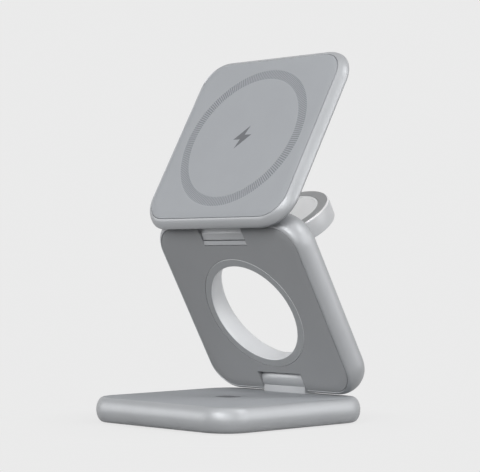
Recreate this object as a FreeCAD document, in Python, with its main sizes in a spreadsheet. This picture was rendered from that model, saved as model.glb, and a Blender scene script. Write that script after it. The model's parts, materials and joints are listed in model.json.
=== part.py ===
import FreeCAD, Part
import math
import os
import re

import Sketcher

# A foldable charging stand: a flat base, a middle panel with a round opening, a top panel for a phone
# and a small watch puck, joined by three hinges whose axes all run left to right.
# The origin is on the table under the middle of the base, X to the right, Y to the back, Z up.

# Driving dimensions in millimetres, angles in degrees
SIZES = {
    # outer shape of the three panels
    "panel_width": 70.6,
    "panel_length": 69.4,
    "base_depth": 70.1,
    "base_top": 8.8,
    "middle_thick": 9.0,
    "top_thick": 4.8,
    "corner_radius": 11.5,
    "edge_bulge": 2.4,
    # how the stand is set up and how it folds
    "middle_angle": 120.0,
    "top_angle": 60.0,
    "puck_angle": 30.0,
    "fold_gap": 0.8,
    # plates, cavities and clearances
    "plate_thick": 1.0,
    "face_thick": 0.8,
    "ledge_width": 2.0,
    "seat_gap": 0.1,
    "floor_thick": 1.4,
    "top_floor": 0.8,
    "pad_proud": 0.4,
    "pad_thick": 1.0,
    "pad_margin": 5.0,
    # hinges between the panels
    "axis_inset": 4.5,
    "knuckle_radius": 4.2,
    "knuckle_width": 20.0,
    "notch_side": 0.5,
    "notch_run": 0.4,
    "stem_inner": 3.25,
    "stem_outer": 2.0,
    "stem_reach": 8.1,
    "notch_wall": 1.2,
    "pin_radius": 1.5,
    "pin_run": 0.05,
    "pin_depth": 5.5,
    "block_half": 17.2,
    "pin_head_radius": 2.2,
    "pin_head_thick": 1.0,
    "channel_radius": 2.5,
    "washer_radius": 3.6,
    "washer_thick": 0.4,
    # screws
    "screw_radius": 0.8,
    "screw_head_radius": 1.6,
    "screw_head_thick": 0.6,
    "screw_spacing": 15.0,
    "screw_bite": 3.0,
    # round opening and its lining
    "rim_margin": 2.6,
    "bezel_width": 2.9,
    "hole_taper": 1.5,
    "hole_flare": 1.4,
    "hole_flare_depth": 1.8,
    "hole_offset": 1.4,
    "well_lip": 0.9,
    # watch puck and its hinge
    "puck_run": 0.4,
    "puck_thick": 6.8,
    "arm_margin": 2.8,
    "puck_face_rise": 2.2,
    "puck_axis_depth": 6.9,
    "tab_half": 7.4,
    "tab_side": 0.3,
    "tab_radius": 2.0,
    "tab_run": 0.4,
    "puck_pin_radius": 0.8,
    "pocket_wall": 1.1,
    "pocket_cheek": 3.4,
    "disc_seat": 2.2,
    "puck_wall": 1.8,
    "puck_lip": 1.2,
    "disc_flange": 0.8,
    "puck_cover_thick": 1.0,
    "dish_depth": 0.3,
    "disc_rim": 0.9,
    "face_bevel": 0.4,
    # phone side
    "ring_margin": 2.2,
    "ring_width": 4.4,
    "ring_inlay_thick": 0.3,
    "magnet_thick": 1.6,
    "magnet_count": 16.0,
    "magnet_gap_angle": 2.0,
    "magnet_opening": 66.0,
    "phone_coil_margin": 2.2,
    "phone_coil_inner": 11.0,
    "coil_thick": 1.0,
    "ferrite_thick": 0.6,
    "ferrite_rim": 0.7,
    # earbud side
    "earbud_coil_outer": 16.0,
    "earbud_coil_inner": 5.0,
    "earbud_offset": 0.0,
    # ballast and boards
    "ballast_thick": 1.5,
    "ballast_side": 2.9,
    "ballast_end": 2.15,
    "ballast_run": 3.0,
    "board_thick": 0.8,
    "board_width": 44.0,
    "board_length": 18.45,
    "board_rise": 1.4,
    "board_edge": 2.5,
    "chip_rise": 1.2,
    "chip_large": 6.0,
    "chip_small": 4.4,
    "chip_pitch": 9.0,
    "chip_line": 6.5,
    "chip_back_line": 13.0,
    "leg_inner": 5.0,
    "leg_outer": 10.6,
    "top_board_width": 40.0,
    "top_board_length": 30.0,
    "middle_board_margin": 1.0,
    "middle_board_length": 40.0,
    "flex_thick": 0.3,
    "flex_margin": 2.6,
    "flex_length": 46.0,
    "strip_gap": 1.8,
    # inlet
    "port_width": 8.94,
    "port_height": 3.2,
    "port_length": 7.4,
    "port_wall": 0.3,
    "port_setback": 0.7,
    "port_gap": 0.15,
    "tongue_width": 6.7,
    "tongue_thick": 0.7,
    "tongue_length": 5.4,
    # watch charging parts
    "puck_coil_margin": 4.0,
    "puck_coil_inner": 5.0,
    "puck_magnet_radius": 4.2,
    "puck_board_margin": 2.9,
    "puck_board_thick": 0.8,
}

# Sizes that follow from the driving ones
LINKS = {
    "plate_width": "panel_width - 2 * edge_bulge",
    "plate_length": "panel_length - 2 * edge_bulge",
    "base_plate_length": "base_depth - 2 * edge_bulge",
    "plate_radius": "corner_radius - edge_bulge",
    "cavity_width": "plate_width - 2 * ledge_width",
    "cavity_length": "plate_length - 2 * ledge_width",
    "base_cavity_length": "base_plate_length - 2 * ledge_width",
    "cavity_radius": "plate_radius - ledge_width",
    "half_middle": "middle_thick / 2",
    "half_top": "top_thick / 2",
    "axis_out": "panel_length / 2 - axis_inset",
    "fold_offset": "half_middle + fold_gap",
    "lower_axis_y": "base_depth / 2 - axis_inset",
    "lower_axis_z": "base_top + fold_offset",
    "notch_half": "knuckle_width / 2 + notch_side",
    "notch_depth": "knuckle_radius + notch_run",
    "notch_wall_y": "axis_out - notch_depth",
    "block_y": "notch_wall_y - notch_wall",
    "pin_length": "block_half - knuckle_width / 2 + pin_depth",
    "middle_plate_z": "half_middle - plate_thick",
    "stem_end_top": "stem_reach - fold_offset - half_top",
    "top_plate_z": "half_top - face_thick",
    "top_floor_z": "top_floor - half_top",
    "base_plate_z": "base_top - plate_thick",
    "base_floor_z": "pad_proud + floor_thick",
    "pad_top": "pad_thick",
    "leg_top": "lower_axis_z - stem_reach",
    "screw_x": "screw_spacing / 2",
    "stem_mid": "(stem_inner - stem_outer) / 2",
    "hole_y": "0 - hole_offset",
    "bezel_radius": "notch_wall_y - hole_offset - rim_margin",
    "hole_radius": "bezel_radius - bezel_width",
    "hole_back_radius": "hole_radius + hole_taper",
    "flare_z": "hole_flare_depth - half_middle",
    "flare_radius": "hole_back_radius + hole_flare",
    "well_radius": "flare_radius + well_lip",
    "puck_radius": "hole_radius - puck_run",
    "puck_arm": "puck_radius + arm_margin",
    "puck_axis_y": "hole_y + puck_arm",
    "puck_axis_z": "half_middle - puck_axis_depth",
    "tab_pocket_half": "tab_half + tab_side",
    "tab_pocket_end": "puck_axis_y + tab_radius + tab_run",
    "tab_pocket_top": "puck_axis_z + tab_radius + tab_run",
    "cheek_half": "tab_pocket_half + pocket_cheek",
    "cheek_end": "tab_pocket_end + pocket_wall",
    "puck_back": "puck_face_rise - puck_thick",
    "puck_lip_z": "puck_face_rise - puck_lip",
    "puck_bore": "puck_radius - puck_wall",
    "disc_radius": "puck_bore - disc_seat",
    "puck_coil_outer": "puck_bore - puck_coil_margin",
    "puck_board_radius": "puck_bore - puck_board_margin",
    "puck_cover_z": "puck_back + puck_cover_thick",
    "disc_flange_z": "puck_lip_z - disc_flange",
    "puck_coil_z": "disc_flange_z - coil_thick",
    "puck_ferrite_z": "puck_coil_z - ferrite_thick",
    "board_z": "base_floor_z + board_rise",
    "wall_y": "base_cavity_length / 2",
    "port_y": "base_depth / 2 - port_setback",
    "port_back": "port_y - port_length",
    "port_z": "board_z + board_thick / 2",
    "board_front": "port_back - board_length",
    "ballast_width": "cavity_width - 2 * ballast_side",
    "coil_z": "base_plate_z - coil_thick",
    "ferrite_z": "coil_z - ferrite_thick",
    "phone_coil_z": "top_plate_z - coil_thick",
    "phone_ferrite_z": "phone_coil_z - ferrite_thick",
    "ring_outer": "min(cavity_width; cavity_length) / 2 - ring_margin",
    "ring_inner": "ring_outer - ring_width",
    "phone_coil_outer": "ring_inner - phone_coil_margin",
    "strip_x": "well_radius + strip_gap",
}


def expand(text):
    """Turn the names in a formula into references to the sheet's cells."""

    def swap(match):
        word = match.group(0)
        if word in LINKS:
            return "(" + expand(LINKS[word]) + ")"
        if word in SIZES:
            return "sizes." + word
        return word

    return re.sub(r"[a-z][a-z0-9_]*", swap, text)


doc = FreeCAD.newDocument("charger_stand")
sheet = doc.addObject("Spreadsheet::Sheet", "sizes")
for row, (alias, size) in enumerate(SIZES.items(), start=1):
    sheet.set("A%d" % row, alias.replace("_", " "))
    sheet.set("B%d" % row, str(size))
    sheet.setAlias("B%d" % row, alias)
doc.recompute()


def value(text):
    """The number that a formula of named sizes gives."""
    found = sheet.evalExpression(expand(str(text)))
    return float(getattr(found, "Value", found))


X_AXIS = FreeCAD.Vector(1, 0, 0)
Z_AXIS = FreeCAD.Vector(0, 0, 1)


def frame_at(y, z, angle):
    """A frame at (0, y, z) turned about the X direction."""
    turn = FreeCAD.Rotation(X_AXIS, value(angle))
    return FreeCAD.Placement(FreeCAD.Vector(0, value(y), value(z)), turn)


def shifted(frame, y, z):
    """A frame moved along its own Y and Z."""
    return frame.multiply(FreeCAD.Placement(FreeCAD.Vector(0, value(y), value(z)), FreeCAD.Rotation()))


# Frames of the four bodies. A panel's own frame has X to the right, Y up along the panel, Z out of its
# face, and lies at the panel's centre. The puck's frame lies on its hinge axis, with Z out of its face.
BASE = FreeCAD.Placement()
LOWER_AXIS = frame_at("lower_axis_y", "lower_axis_z", "middle_angle")
MIDDLE = shifted(LOWER_AXIS, "axis_out", "0")
UPPER_AXIS = shifted(MIDDLE, "axis_out", "0")
upper_point = UPPER_AXIS.Base
TOP_AXIS = FreeCAD.Placement(upper_point, FreeCAD.Rotation(X_AXIS, value("top_angle")))
TOP = shifted(TOP_AXIS, "axis_out", "fold_offset + half_top")
puck_point = shifted(MIDDLE, "puck_axis_y", "puck_axis_z").Base
PUCK = FreeCAD.Placement(puck_point, FreeCAD.Rotation(X_AXIS, value("puck_angle")))

parts = {}


class Piece:
    """One sub-part as a body: sketches on its own origin planes, then pads, cuts and turned features."""

    def __init__(self, name, frame):
        self.name = name
        self.body = doc.addObject("PartDesign::Body", name)
        self.body.Label = name
        self.body.Placement = frame
        parts[name] = self.body

    def sketch(self, plane="XY", offset="0"):
        """An empty sketch on an origin plane, moved along the plane's normal."""
        made = self.body.newObject("Sketcher::SketchObject", self.name + "_sketch")
        role = plane + "_Plane"
        base = [f for f in self.body.Origin.OriginFeatures if f.Role == role][0]
        made.AttachmentSupport = [(base, "")]
        made.MapMode = "FlatFace"
        made.setExpression(".AttachmentOffset.Base.z", expand(offset))
        return made

    def feature(self, kind, sketch):
        made = self.body.newObject("PartDesign::" + kind, self.name + "_" + kind.lower())
        made.Profile = sketch
        sketch.Visibility = False
        return made

    def pad(self, sketch, length, middle=False):
        made = self.feature("Pad", sketch)
        made.Length = value(length)
        made.setExpression("Length", expand(length))
        made.Midplane = middle
        doc.recompute()
        return made

    def pocket(self, sketch, length, middle=False, upwards=False):
        """A cut: from its sketch down against the plane's normal, or up along it."""
        before = self.body.Shape.Volume
        made = self.feature("Pocket", sketch)
        made.Length = value(length)
        made.setExpression("Length", expand(length))
        made.Midplane = middle
        made.Reversed = upwards
        doc.recompute()
        if self.body.Shape.Volume >= before:
            raise RuntimeError("a cut in %s removes nothing" % self.name)
        return made

    def turn(self, sketch, cut=False):
        """A turned form or a turned cut about the sketch's construction line."""
        before = self.body.Shape.Volume if cut else 0.0
        made = self.feature("Groove" if cut else "Revolution", sketch)
        made.ReferenceAxis = (sketch, ["Axis0"])
        made.Angle = 360.0
        doc.recompute()
        if cut and self.body.Shape.Volume >= before:
            raise RuntimeError("a turned cut in %s removes nothing" % self.name)
        return made


def tie(sketch, kind, index, point, text):
    """Hold one point of a sketch at a distance from its origin that a formula gives."""
    number = sketch.addConstraint(Sketcher.Constraint(kind, -1, 1, index, point, value(text)))
    sketch.setExpression("Constraints[%d]" % number, expand(text))


def vector(x, y):
    return FreeCAD.Vector(value(x), value(y), 0)


def outline(sketch, points):
    """A closed outline of straight lines through points whose coordinates are formulas."""
    first = sketch.GeometryCount
    count = len(points)
    for i in range(count):
        sketch.addGeometry(Part.LineSegment(vector(*points[i]), vector(*points[(i + 1) % count])), False)
    for i in range(count):
        following = first + (i + 1) % count
        sketch.addConstraint(Sketcher.Constraint("Coincident", first + i, 2, following, 1))
        tie(sketch, "DistanceX", first + i, 1, points[i][0])
        tie(sketch, "DistanceY", first + i, 1, points[i][1])
    return sketch


def box_outline(sketch, x0, y0, x1, y1):
    """A rectangle between two corners."""
    return outline(sketch, [(x0, y0), (x1, y0), (x1, y1), (x0, y1)])


def circle(sketch, x, y, radius):
    """A circle with its centre and radius from formulas."""
    made = sketch.addGeometry(Part.Circle(vector(x, y), Z_AXIS, value(radius)), False)
    tie(sketch, "DistanceX", made, 3, x)
    tie(sketch, "DistanceY", made, 3, y)
    number = sketch.addConstraint(Sketcher.Constraint("Radius", made, value(radius)))
    sketch.setExpression("Constraints[%d]" % number, expand(radius))
    return sketch


def axis_line(sketch, x0, y0, x1, y1):
    """The construction line that a turned form turns about."""
    made = sketch.addGeometry(Part.LineSegment(vector(x0, y0), vector(x1, y1)), True)
    for point, (x, y) in ((1, (x0, y0)), (2, (x1, y1))):
        tie(sketch, "DistanceX", made, point, x)
        tie(sketch, "DistanceY", made, point, y)


def rounded(sketch, width, length, radius):
    """A rectangle with round corners, centred on the sketch's origin."""
    w, l, r = value(width) / 2, value(length) / 2, value(radius)
    first = sketch.GeometryCount
    corners = [(1, 1, 0), (-1, 1, 90), (-1, -1, 180), (1, -1, 270)]
    for sx, sy, start in corners:
        centre = FreeCAD.Vector(sx * (w - r), sy * (l - r), 0)
        ring = Part.Circle(centre, Z_AXIS, r)
        span = math.radians(start), math.radians(start + 90)
        sketch.addGeometry(Part.ArcOfCircle(ring, *span), False)
    for i in range(4):
        here = sketch.Geometry[first + i].EndPoint
        there = sketch.Geometry[first + (i + 1) % 4].StartPoint
        sketch.addGeometry(Part.LineSegment(here, there), False)
    for i in range(4):
        line = first + 4 + i
        sketch.addConstraint(Sketcher.Constraint("Tangent", first + i, 2, line, 1))
        sketch.addConstraint(Sketcher.Constraint("Tangent", line, 2, first + (i + 1) % 4, 1))
    for i, (sx, sy, start) in enumerate(corners):
        tie(sketch, "DistanceX", first + i, 3, "%d * ((%s) / 2 - (%s))" % (sx, width, radius))
        tie(sketch, "DistanceY", first + i, 3, "%d * ((%s) / 2 - (%s))" % (sy, length, radius))
    number = sketch.addConstraint(Sketcher.Constraint("Radius", first, r))
    sketch.setExpression("Constraints[%d]" % number, expand(radius))
    return sketch


def panel_body(name, frame, length, low, high):
    """The solid of a panel: a flat core and an edge that bulges out all round as one arc."""
    piece = Piece(name, frame)
    core_length = "(%s) - 2 * edge_bulge" % length
    core = rounded(piece.sketch("XY", low), "plate_width", core_length, "plate_radius")
    piece.pad(core, "(%s) - (%s)" % (high, low))
    section = piece.sketch("XZ")
    inner = value("plate_width / 2 - ledge_width")
    edge = value("plate_width / 2")
    tip = value("panel_width / 2")
    z0, z1 = value(low), value(high)
    foot_point = FreeCAD.Vector(edge, z0, 0)
    head_point = FreeCAD.Vector(edge, z1, 0)
    tip_point = FreeCAD.Vector(tip, (z0 + z1) / 2, 0)
    arc = section.addGeometry(Part.Arc(foot_point, tip_point, head_point), False)
    starts_low = section.Geometry[arc].StartPoint.y < tip_point.y
    bottom, top = (1, 2) if starts_low else (2, 1)
    corner = [FreeCAD.Vector(inner, z0, 0), FreeCAD.Vector(inner, z1, 0)]
    lower = section.addGeometry(Part.LineSegment(foot_point, corner[0]), False)
    back = section.addGeometry(Part.LineSegment(corner[0], corner[1]), False)
    upper = section.addGeometry(Part.LineSegment(corner[1], head_point), False)
    section.addConstraint(Sketcher.Constraint("Coincident", arc, bottom, lower, 1))
    section.addConstraint(Sketcher.Constraint("Coincident", lower, 2, back, 1))
    section.addConstraint(Sketcher.Constraint("Coincident", back, 2, upper, 1))
    section.addConstraint(Sketcher.Constraint("Coincident", upper, 2, arc, top))
    for index, point, x, z in (
        (lower, 1, "plate_width / 2", low),
        (lower, 2, "plate_width / 2 - ledge_width", low),
        (upper, 1, "plate_width / 2 - ledge_width", high),
        (upper, 2, "plate_width / 2", high),
    ):
        tie(section, "DistanceX", index, point, x)
        tie(section, "DistanceY", index, point, z)
    bulge_radius = "((((%s) - (%s)) / 2) ^ 2 + edge_bulge ^ 2) / (2 * edge_bulge)" % (high, low)
    tie(section, "DistanceX", arc, 3, "panel_width / 2 - " + bulge_radius)
    path = rounded(piece.sketch("XY"), "plate_width", core_length, "plate_radius")
    doc.recompute()
    pipe = piece.feature("AdditivePipe", section)
    pipe.Spine = path
    doc.recompute()
    return piece


def disc(name, frame, radius, low, thick, hole=None, x="0", y="0"):
    """A flat disc or ring."""
    piece = Piece(name, frame)
    flat = circle(piece.sketch("XY", low), x, y, radius)
    if hole:
        circle(flat, x, y, hole)
    piece.pad(flat, thick)
    return piece


def block(name, frame, x0, y0, x1, y1, low, thick):
    """A flat rectangular piece."""
    piece = Piece(name, frame)
    piece.pad(box_outline(piece.sketch("XY", low), x0, y0, x1, y1), thick)
    return piece


def group(name, frame, shapes):
    """Identical pieces that share one node, as separate solids."""
    made = doc.addObject("Part::Feature", name)
    made.Label = name
    made.Shape = Part.makeCompound(shapes)
    made.Placement = frame
    parts[name] = made


def turned(profile, point, direction):
    """A solid of steps (start, end, radius) along a line from a point."""
    solids = []
    for start, end, radius in profile:
        place = point + direction * start
        solids.append(Part.makeCylinder(radius, end - start, place, direction))
    result = solids[0]
    for solid in solids[1:]:
        result = result.fuse(solid)
    return result.removeSplitter()


def screws(name, frame, places, head_z, direction, length):
    """Screws with a flat head, all alike, at (x, y) places."""
    head = value("screw_head_thick")
    steps = [(0.0, head, value("screw_head_radius")), (head, value(length), value("screw_radius"))]
    along = FreeCAD.Vector(0, 0, direction)
    made = [turned(steps, FreeCAD.Vector(x, y, value(head_z)), along) for x, y in places]
    group(name, frame, made)


# Base shell: a tray with a bulged edge, a seat for the top plate and a cavity for the electronics
shell = panel_body("base_shell", BASE, "base_depth", "pad_proud", "base_top")
shell.pocket(
    rounded(shell.sketch("XY", "base_top"), "plate_width", "base_plate_length", "plate_radius"),
    "plate_thick",
)
shell.pocket(
    rounded(shell.sketch("XY", "base_plate_z"), "cavity_width", "base_cavity_length", "cavity_radius"),
    "base_plate_z - base_floor_z",
)
for side in ("", "-"):
    # legs under the hinge leaf, one each side of the inlet
    inner, outer = side + "leg_inner", side + "leg_outer"
    leg = shell.sketch("XY", "base_floor_z")
    box_outline(leg, inner, "port_back + seat_gap", outer, "wall_y + ledge_width / 2")
    shell.pad(leg, "leg_top - base_floor_z")
# seat of the leaf's stem in the ledge behind the cavity
shell.pocket(
    box_outline(
        shell.sketch("XY", "base_plate_z"),
        "-(knuckle_width / 2 + seat_gap)",
        "lower_axis_y - stem_inner - seat_gap",
        "knuckle_width / 2 + seat_gap",
        "lower_axis_y + stem_outer",
    ),
    "base_plate_z - leg_top",
)
pad_seat = rounded(
    shell.sketch("XY", "pad_proud"),
    "plate_width - 2 * pad_margin",
    "base_plate_length - 2 * pad_margin",
    "cavity_radius",
)
shell.pocket(pad_seat, "pad_top - pad_proud", upwards=True)
BOARD_SPOTS = [
    (sx + "(board_width / 2 - board_edge)", y)
    for sx in ("", "-")
    for y in ("board_front + board_edge", "port_back - board_edge")
]
posts = shell.sketch("XY", "base_floor_z")
for x, y in BOARD_SPOTS:
    circle(posts, x, y, "screw_head_radius + seat_gap")
shell.pad(posts, "board_rise")
pilots = shell.sketch("XY", "board_z")
for x, y in BOARD_SPOTS:
    circle(pilots, x, y, "screw_radius")
shell.pocket(pilots, "board_rise")
# the inlet's slot through the rear wall, a flat oval
slot = shell.sketch("XZ", "0 - wall_y + ledge_width")
half_slot = "(port_width - port_height) / 2"
slot_radius = "port_height / 2 + port_gap"
box_outline(
    slot, "-(%s)" % half_slot, "port_z - (%s)" % slot_radius, half_slot, "port_z + (%s)" % slot_radius
)
shell.pocket(slot, "base_depth")
for side in ("", "-"):
    slot_end = shell.sketch("XZ", "0 - wall_y + ledge_width")
    circle(slot_end, "%s(%s)" % (side, half_slot), "port_z", slot_radius)
    shell.pocket(slot_end, "base_depth")
holes = shell.sketch("XY", "pad_top")
heads = shell.sketch("XY", "pad_top")
for side in ("", "-"):
    circle(holes, side + "screw_x", "lower_axis_y - stem_mid", "screw_radius + seat_gap")
    circle(heads, side + "screw_x", "lower_axis_y - stem_mid", "screw_head_radius + seat_gap")
shell.pocket(holes, "leg_top", upwards=True)
shell.pocket(heads, "screw_head_thick", upwards=True)

# Plate on which the earbud case lies, notched for the hinge leaf
plate = Piece("base_top_plate", BASE)
plate.pad(
    rounded(
        plate.sketch("XY", "base_plate_z"),
        "plate_width - 2 * seat_gap",
        "base_plate_length - 2 * seat_gap",
        "plate_radius - seat_gap",
    ),
    "plate_thick",
)
plate.pocket(
    box_outline(
        plate.sketch("XY", "base_top"),
        "-(knuckle_width / 2 + seat_gap)",
        "lower_axis_y - stem_inner - seat_gap",
        "knuckle_width / 2 + seat_gap",
        "base_depth / 2",
    ),
    "plate_thick",
)

foot = Piece("base_foot_pad", BASE)
foot.pad(
    rounded(
        foot.sketch("XY"),
        "plate_width - 2 * (pad_margin + seat_gap)",
        "base_plate_length - 2 * (pad_margin + seat_gap)",
        "cavity_radius - seat_gap",
    ),
    "pad_thick",
)

block(
    "base_ballast",
    BASE,
    "-(ballast_width / 2)",
    "ballast_end - wall_y",
    "ballast_width / 2",
    "board_front - ballast_run",
    "base_floor_z",
    "ballast_thick",
)

# Power board on four posts, its rear edge at the inlet
board = Piece("base_circuit_board", BASE)
board.pad(
    box_outline(
        board.sketch("XY", "board_z"), "-(board_width / 2)", "board_front", "board_width / 2", "port_back"
    ),
    "board_thick",
)
drilled = board.sketch("XY", "board_z + board_thick")
for x, y in BOARD_SPOTS:
    circle(drilled, x, y, "screw_radius + seat_gap")
board.pocket(drilled, "board_thick")
screws(
    "base_board_screws",
    BASE,
    [(value(x), value(y)) for x, y in BOARD_SPOTS],
    "board_z + board_thick + screw_head_thick",
    -1,
    "screw_head_thick + board_thick + board_rise",
)

# Square chips on the power board: centre x, distance from the board's front edge, width
CHIPS = [
    ("-(chip_pitch)", "chip_line", "chip_small"),
    ("0", "chip_line", "chip_large"),
    ("chip_pitch", "chip_line", "chip_small"),
    ("0", "chip_back_line", "chip_small"),
]
chips = []
for x, y, width in CHIPS:
    corner = FreeCAD.Vector(
        value("(%s) - (%s) / 2" % (x, width)),
        value("board_front + %s - (%s) / 2" % (y, width)),
        value("board_z + board_thick"),
    )
    chips.append(Part.makeBox(value(width), value(width), value("chip_rise"), corner))
group("base_board_parts", BASE, chips)


def oval(piece, half, radius):
    """A flat oval across the inlet, on a plane at its mouth."""
    flat = piece.sketch("XZ", "-(port_y)")
    made = []
    for sx, start in ((1, -90), (-1, 90)):
        ring = Part.Circle(vector("%d * (%s)" % (sx, half), "port_z"), Z_AXIS, value(radius))
        span = math.radians(start), math.radians(start + 180)
        made.append(flat.addGeometry(Part.ArcOfCircle(ring, *span), False))
    for i in range(2):
        here = flat.Geometry[made[i]].EndPoint
        there = flat.Geometry[made[1 - i]].StartPoint
        line = flat.addGeometry(Part.LineSegment(here, there), False)
        flat.addConstraint(Sketcher.Constraint("Tangent", made[i], 2, line, 1))
        flat.addConstraint(Sketcher.Constraint("Tangent", line, 2, made[1 - i], 1))
    for arc, sx in zip(made, (1, -1)):
        tie(flat, "DistanceX", arc, 3, "%d * (%s)" % (sx, half))
        tie(flat, "DistanceY", arc, 3, "port_z")
    number = flat.addConstraint(Sketcher.Constraint("Radius", made[0], value(radius)))
    flat.setExpression("Constraints[%d]" % number, expand(radius))
    return flat


# Inlet: a flat oval metal tube closed at its inner end, with a tongue inside
socket = Piece("usb_c_socket", BASE)
socket.pad(oval(socket, half_slot, "port_height / 2"), "port_length")
bore = oval(socket, half_slot, "port_height / 2 - port_wall")
socket.pocket(bore, "port_length - 2 * port_wall", upwards=True)
block(
    "usb_c_tongue",
    BASE,
    "-(tongue_width / 2)",
    "port_back + 2 * port_wall",
    "tongue_width / 2",
    "port_back + 2 * port_wall + tongue_length",
    "port_z - tongue_thick / 2",
    "tongue_thick",
)

# Charging coil and its shield under the base's plate
disc(
    "earbud_coil",
    BASE,
    "earbud_coil_outer",
    "coil_z",
    "coil_thick",
    "earbud_coil_inner",
    "0",
    "earbud_offset",
)
disc(
    "earbud_ferrite",
    BASE,
    "earbud_coil_outer + ferrite_rim",
    "ferrite_z",
    "ferrite_thick",
    None,
    "0",
    "earbud_offset",
)


def hinge_leaf(name, frame):
    """A knuckle with a stem, in a frame on the hinge axis whose Z points into the panel it holds."""
    piece = Piece(name, frame)
    half = "knuckle_width / 2"
    stem = box_outline(piece.sketch("YZ"), "-(stem_outer)", "0", "stem_inner", "stem_reach")
    piece.pad(stem, "knuckle_width", middle=True)
    piece.pad(circle(piece.sketch("YZ"), "0", "0", "knuckle_radius"), "knuckle_width", middle=True)
    for side in ("", "-"):
        bore = circle(piece.sketch("YZ", side + "(" + half + ")"), "0", "0", "pin_radius + pin_run")
        piece.pocket(bore, "pin_depth + pin_run", upwards=side == "-")
    taps = piece.sketch("XY", "stem_reach")
    for side in ("", "-"):
        circle(taps, side + "screw_x", "stem_mid", "screw_radius")
    piece.pocket(taps, "screw_bite")
    return piece


# A leaf's Y points to the middle of the panel that it holds and its Z into that panel
LOWER_LEAF = FreeCAD.Placement(LOWER_AXIS.Base, FreeCAD.Rotation(X_AXIS, 180.0))
UPPER_LEAF = TOP_AXIS
hinge_leaf("lower_hinge_leaf", LOWER_LEAF)
hinge_leaf("upper_hinge_leaf", UPPER_LEAF)
screws(
    "lower_hinge_screws",
    BASE,
    [(s * value("screw_x"), value("lower_axis_y - stem_mid")) for s in (-1, 1)],
    "pad_top",
    1,
    "leg_top - pad_top + screw_bite",
)

# Middle frame: bulged edge all round, seats for both plates, an open middle and two hinge blocks
middle = panel_body("middle_frame", MIDDLE, "panel_length", "-(half_middle)", "half_middle")
for z, up in (("half_middle", False), ("-(half_middle)", True)):
    plate_seat = rounded(middle.sketch("XY", z), "plate_width", "plate_length", "plate_radius")
    middle.pocket(plate_seat, "plate_thick", upwards=up)
middle_cavity = rounded(middle.sketch("XY"), "cavity_width", "cavity_length", "cavity_radius")
middle.pocket(middle_cavity, "middle_thick", middle=True)


def stepped_bore(piece, y):
    """Two coaxial turned cuts, one each side: a bore for the pin and a wider channel for its head."""
    bores = piece.sketch("XY")
    axis_line(bores, "0", y, "block_half", y)
    for side in ("", "-"):
        steps = [
            ("notch_half - notch_side", "0"),
            ("notch_half - notch_side", "pin_radius"),
            ("block_half", "pin_radius"),
            ("block_half", "channel_radius"),
            ("cavity_width / 2", "channel_radius"),
            ("cavity_width / 2", "0"),
        ]
        outline(bores, [(side + "(" + x + ")", "(%s) + %s" % (y, out)) for x, out in steps])
    piece.turn(bores, cut=True)


for side in ("", "-"):
    hinge_block = box_outline(
        middle.sketch("XY"),
        "-(block_half)",
        side + "(cavity_length / 2 + ledge_width / 2)",
        "block_half",
        side + "(block_y)",
    )
    middle.pad(hinge_block, "2 * middle_plate_z", middle=True)
for side in ("", "-"):
    notch = middle.sketch("XY")
    box_outline(notch, "-(notch_half)", side + "(panel_length)", "notch_half", side + "(notch_wall_y)")
    middle.pocket(notch, "2 * middle_thick", middle=True)
    stepped_bore(middle, side + "(axis_out)")


def middle_plate(name, low, hole):
    """A flush plate of the middle panel with the round opening and both hinge notches."""
    piece = Piece(name, MIDDLE)
    flat = rounded(
        piece.sketch("XY", low),
        "plate_width - 2 * seat_gap",
        "plate_length - 2 * seat_gap",
        "plate_radius - seat_gap",
    )
    circle(flat, "0", "hole_y", hole)
    piece.pad(flat, "plate_thick")
    for side in ("", "-"):
        notch = piece.sketch("XY", low)
        box_outline(notch, "-(notch_half)", side + "(panel_length)", "notch_half", side + "(notch_wall_y)")
        piece.pocket(notch, "plate_thick", upwards=True)
    return piece


middle_plate("middle_front_plate", "middle_plate_z", "bezel_radius + seat_gap")
rear = middle_plate("middle_back_plate", "-(half_middle)", "well_radius + seat_gap")
rear.pocket(
    box_outline(
        rear.sketch("XY", "-(half_middle)"),
        "-(cheek_half + seat_gap)",
        "hole_y",
        "cheek_half + seat_gap",
        "cheek_end + seat_gap",
    ),
    "plate_thick",
    upwards=True,
)

# Lining of the round opening, wider to the back, with the pocket of the puck's hinge
well = Piece("puck_well", MIDDLE)
cheeks = box_outline(
    well.sketch("XY", "-(half_middle)"), "-(cheek_half)", "hole_y", "cheek_half", "cheek_end"
)
well.pad(cheeks, "tab_pocket_top + pocket_wall + half_middle")
section = well.sketch("YZ")
axis_line(section, "hole_y", "-(half_middle)", "hole_y", "half_middle")
WELL_STEPS = [
    ("0", "-(half_middle)"),
    ("well_radius", "-(half_middle)"),
    ("well_radius", "flare_z"),
    ("bezel_radius", "flare_z"),
    ("bezel_radius", "half_middle"),
    ("0", "half_middle"),
]
outline(section, [("hole_y + " + r, z) for r, z in WELL_STEPS])
well.turn(section)
opening = well.sketch("YZ")
axis_line(opening, "hole_y", "-(half_middle)", "hole_y", "half_middle")
OPENING_STEPS = [
    ("0", "-(half_middle)"),
    ("flare_radius", "-(half_middle)"),
    ("hole_back_radius", "flare_z"),
    ("hole_radius", "half_middle"),
    ("0", "half_middle"),
]
outline(opening, [("hole_y + " + r, z) for r, z in OPENING_STEPS])
well.turn(opening, cut=True)
tab_pocket = well.sketch("XY", "-(half_middle)")
box_outline(tab_pocket, "-(tab_pocket_half)", "hole_y", "tab_pocket_half", "tab_pocket_end")
well.pocket(tab_pocket, "tab_pocket_top + half_middle", upwards=True)
pin_hole = circle(well.sketch("YZ"), "puck_axis_y", "puck_axis_z", "puck_pin_radius")
well.pocket(pin_hole, "2 * cheek_half", middle=True)
pin = Piece("puck_hinge_pin", MIDDLE)
pin_section = circle(pin.sketch("YZ"), "puck_axis_y", "puck_axis_z", "puck_pin_radius")
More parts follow.
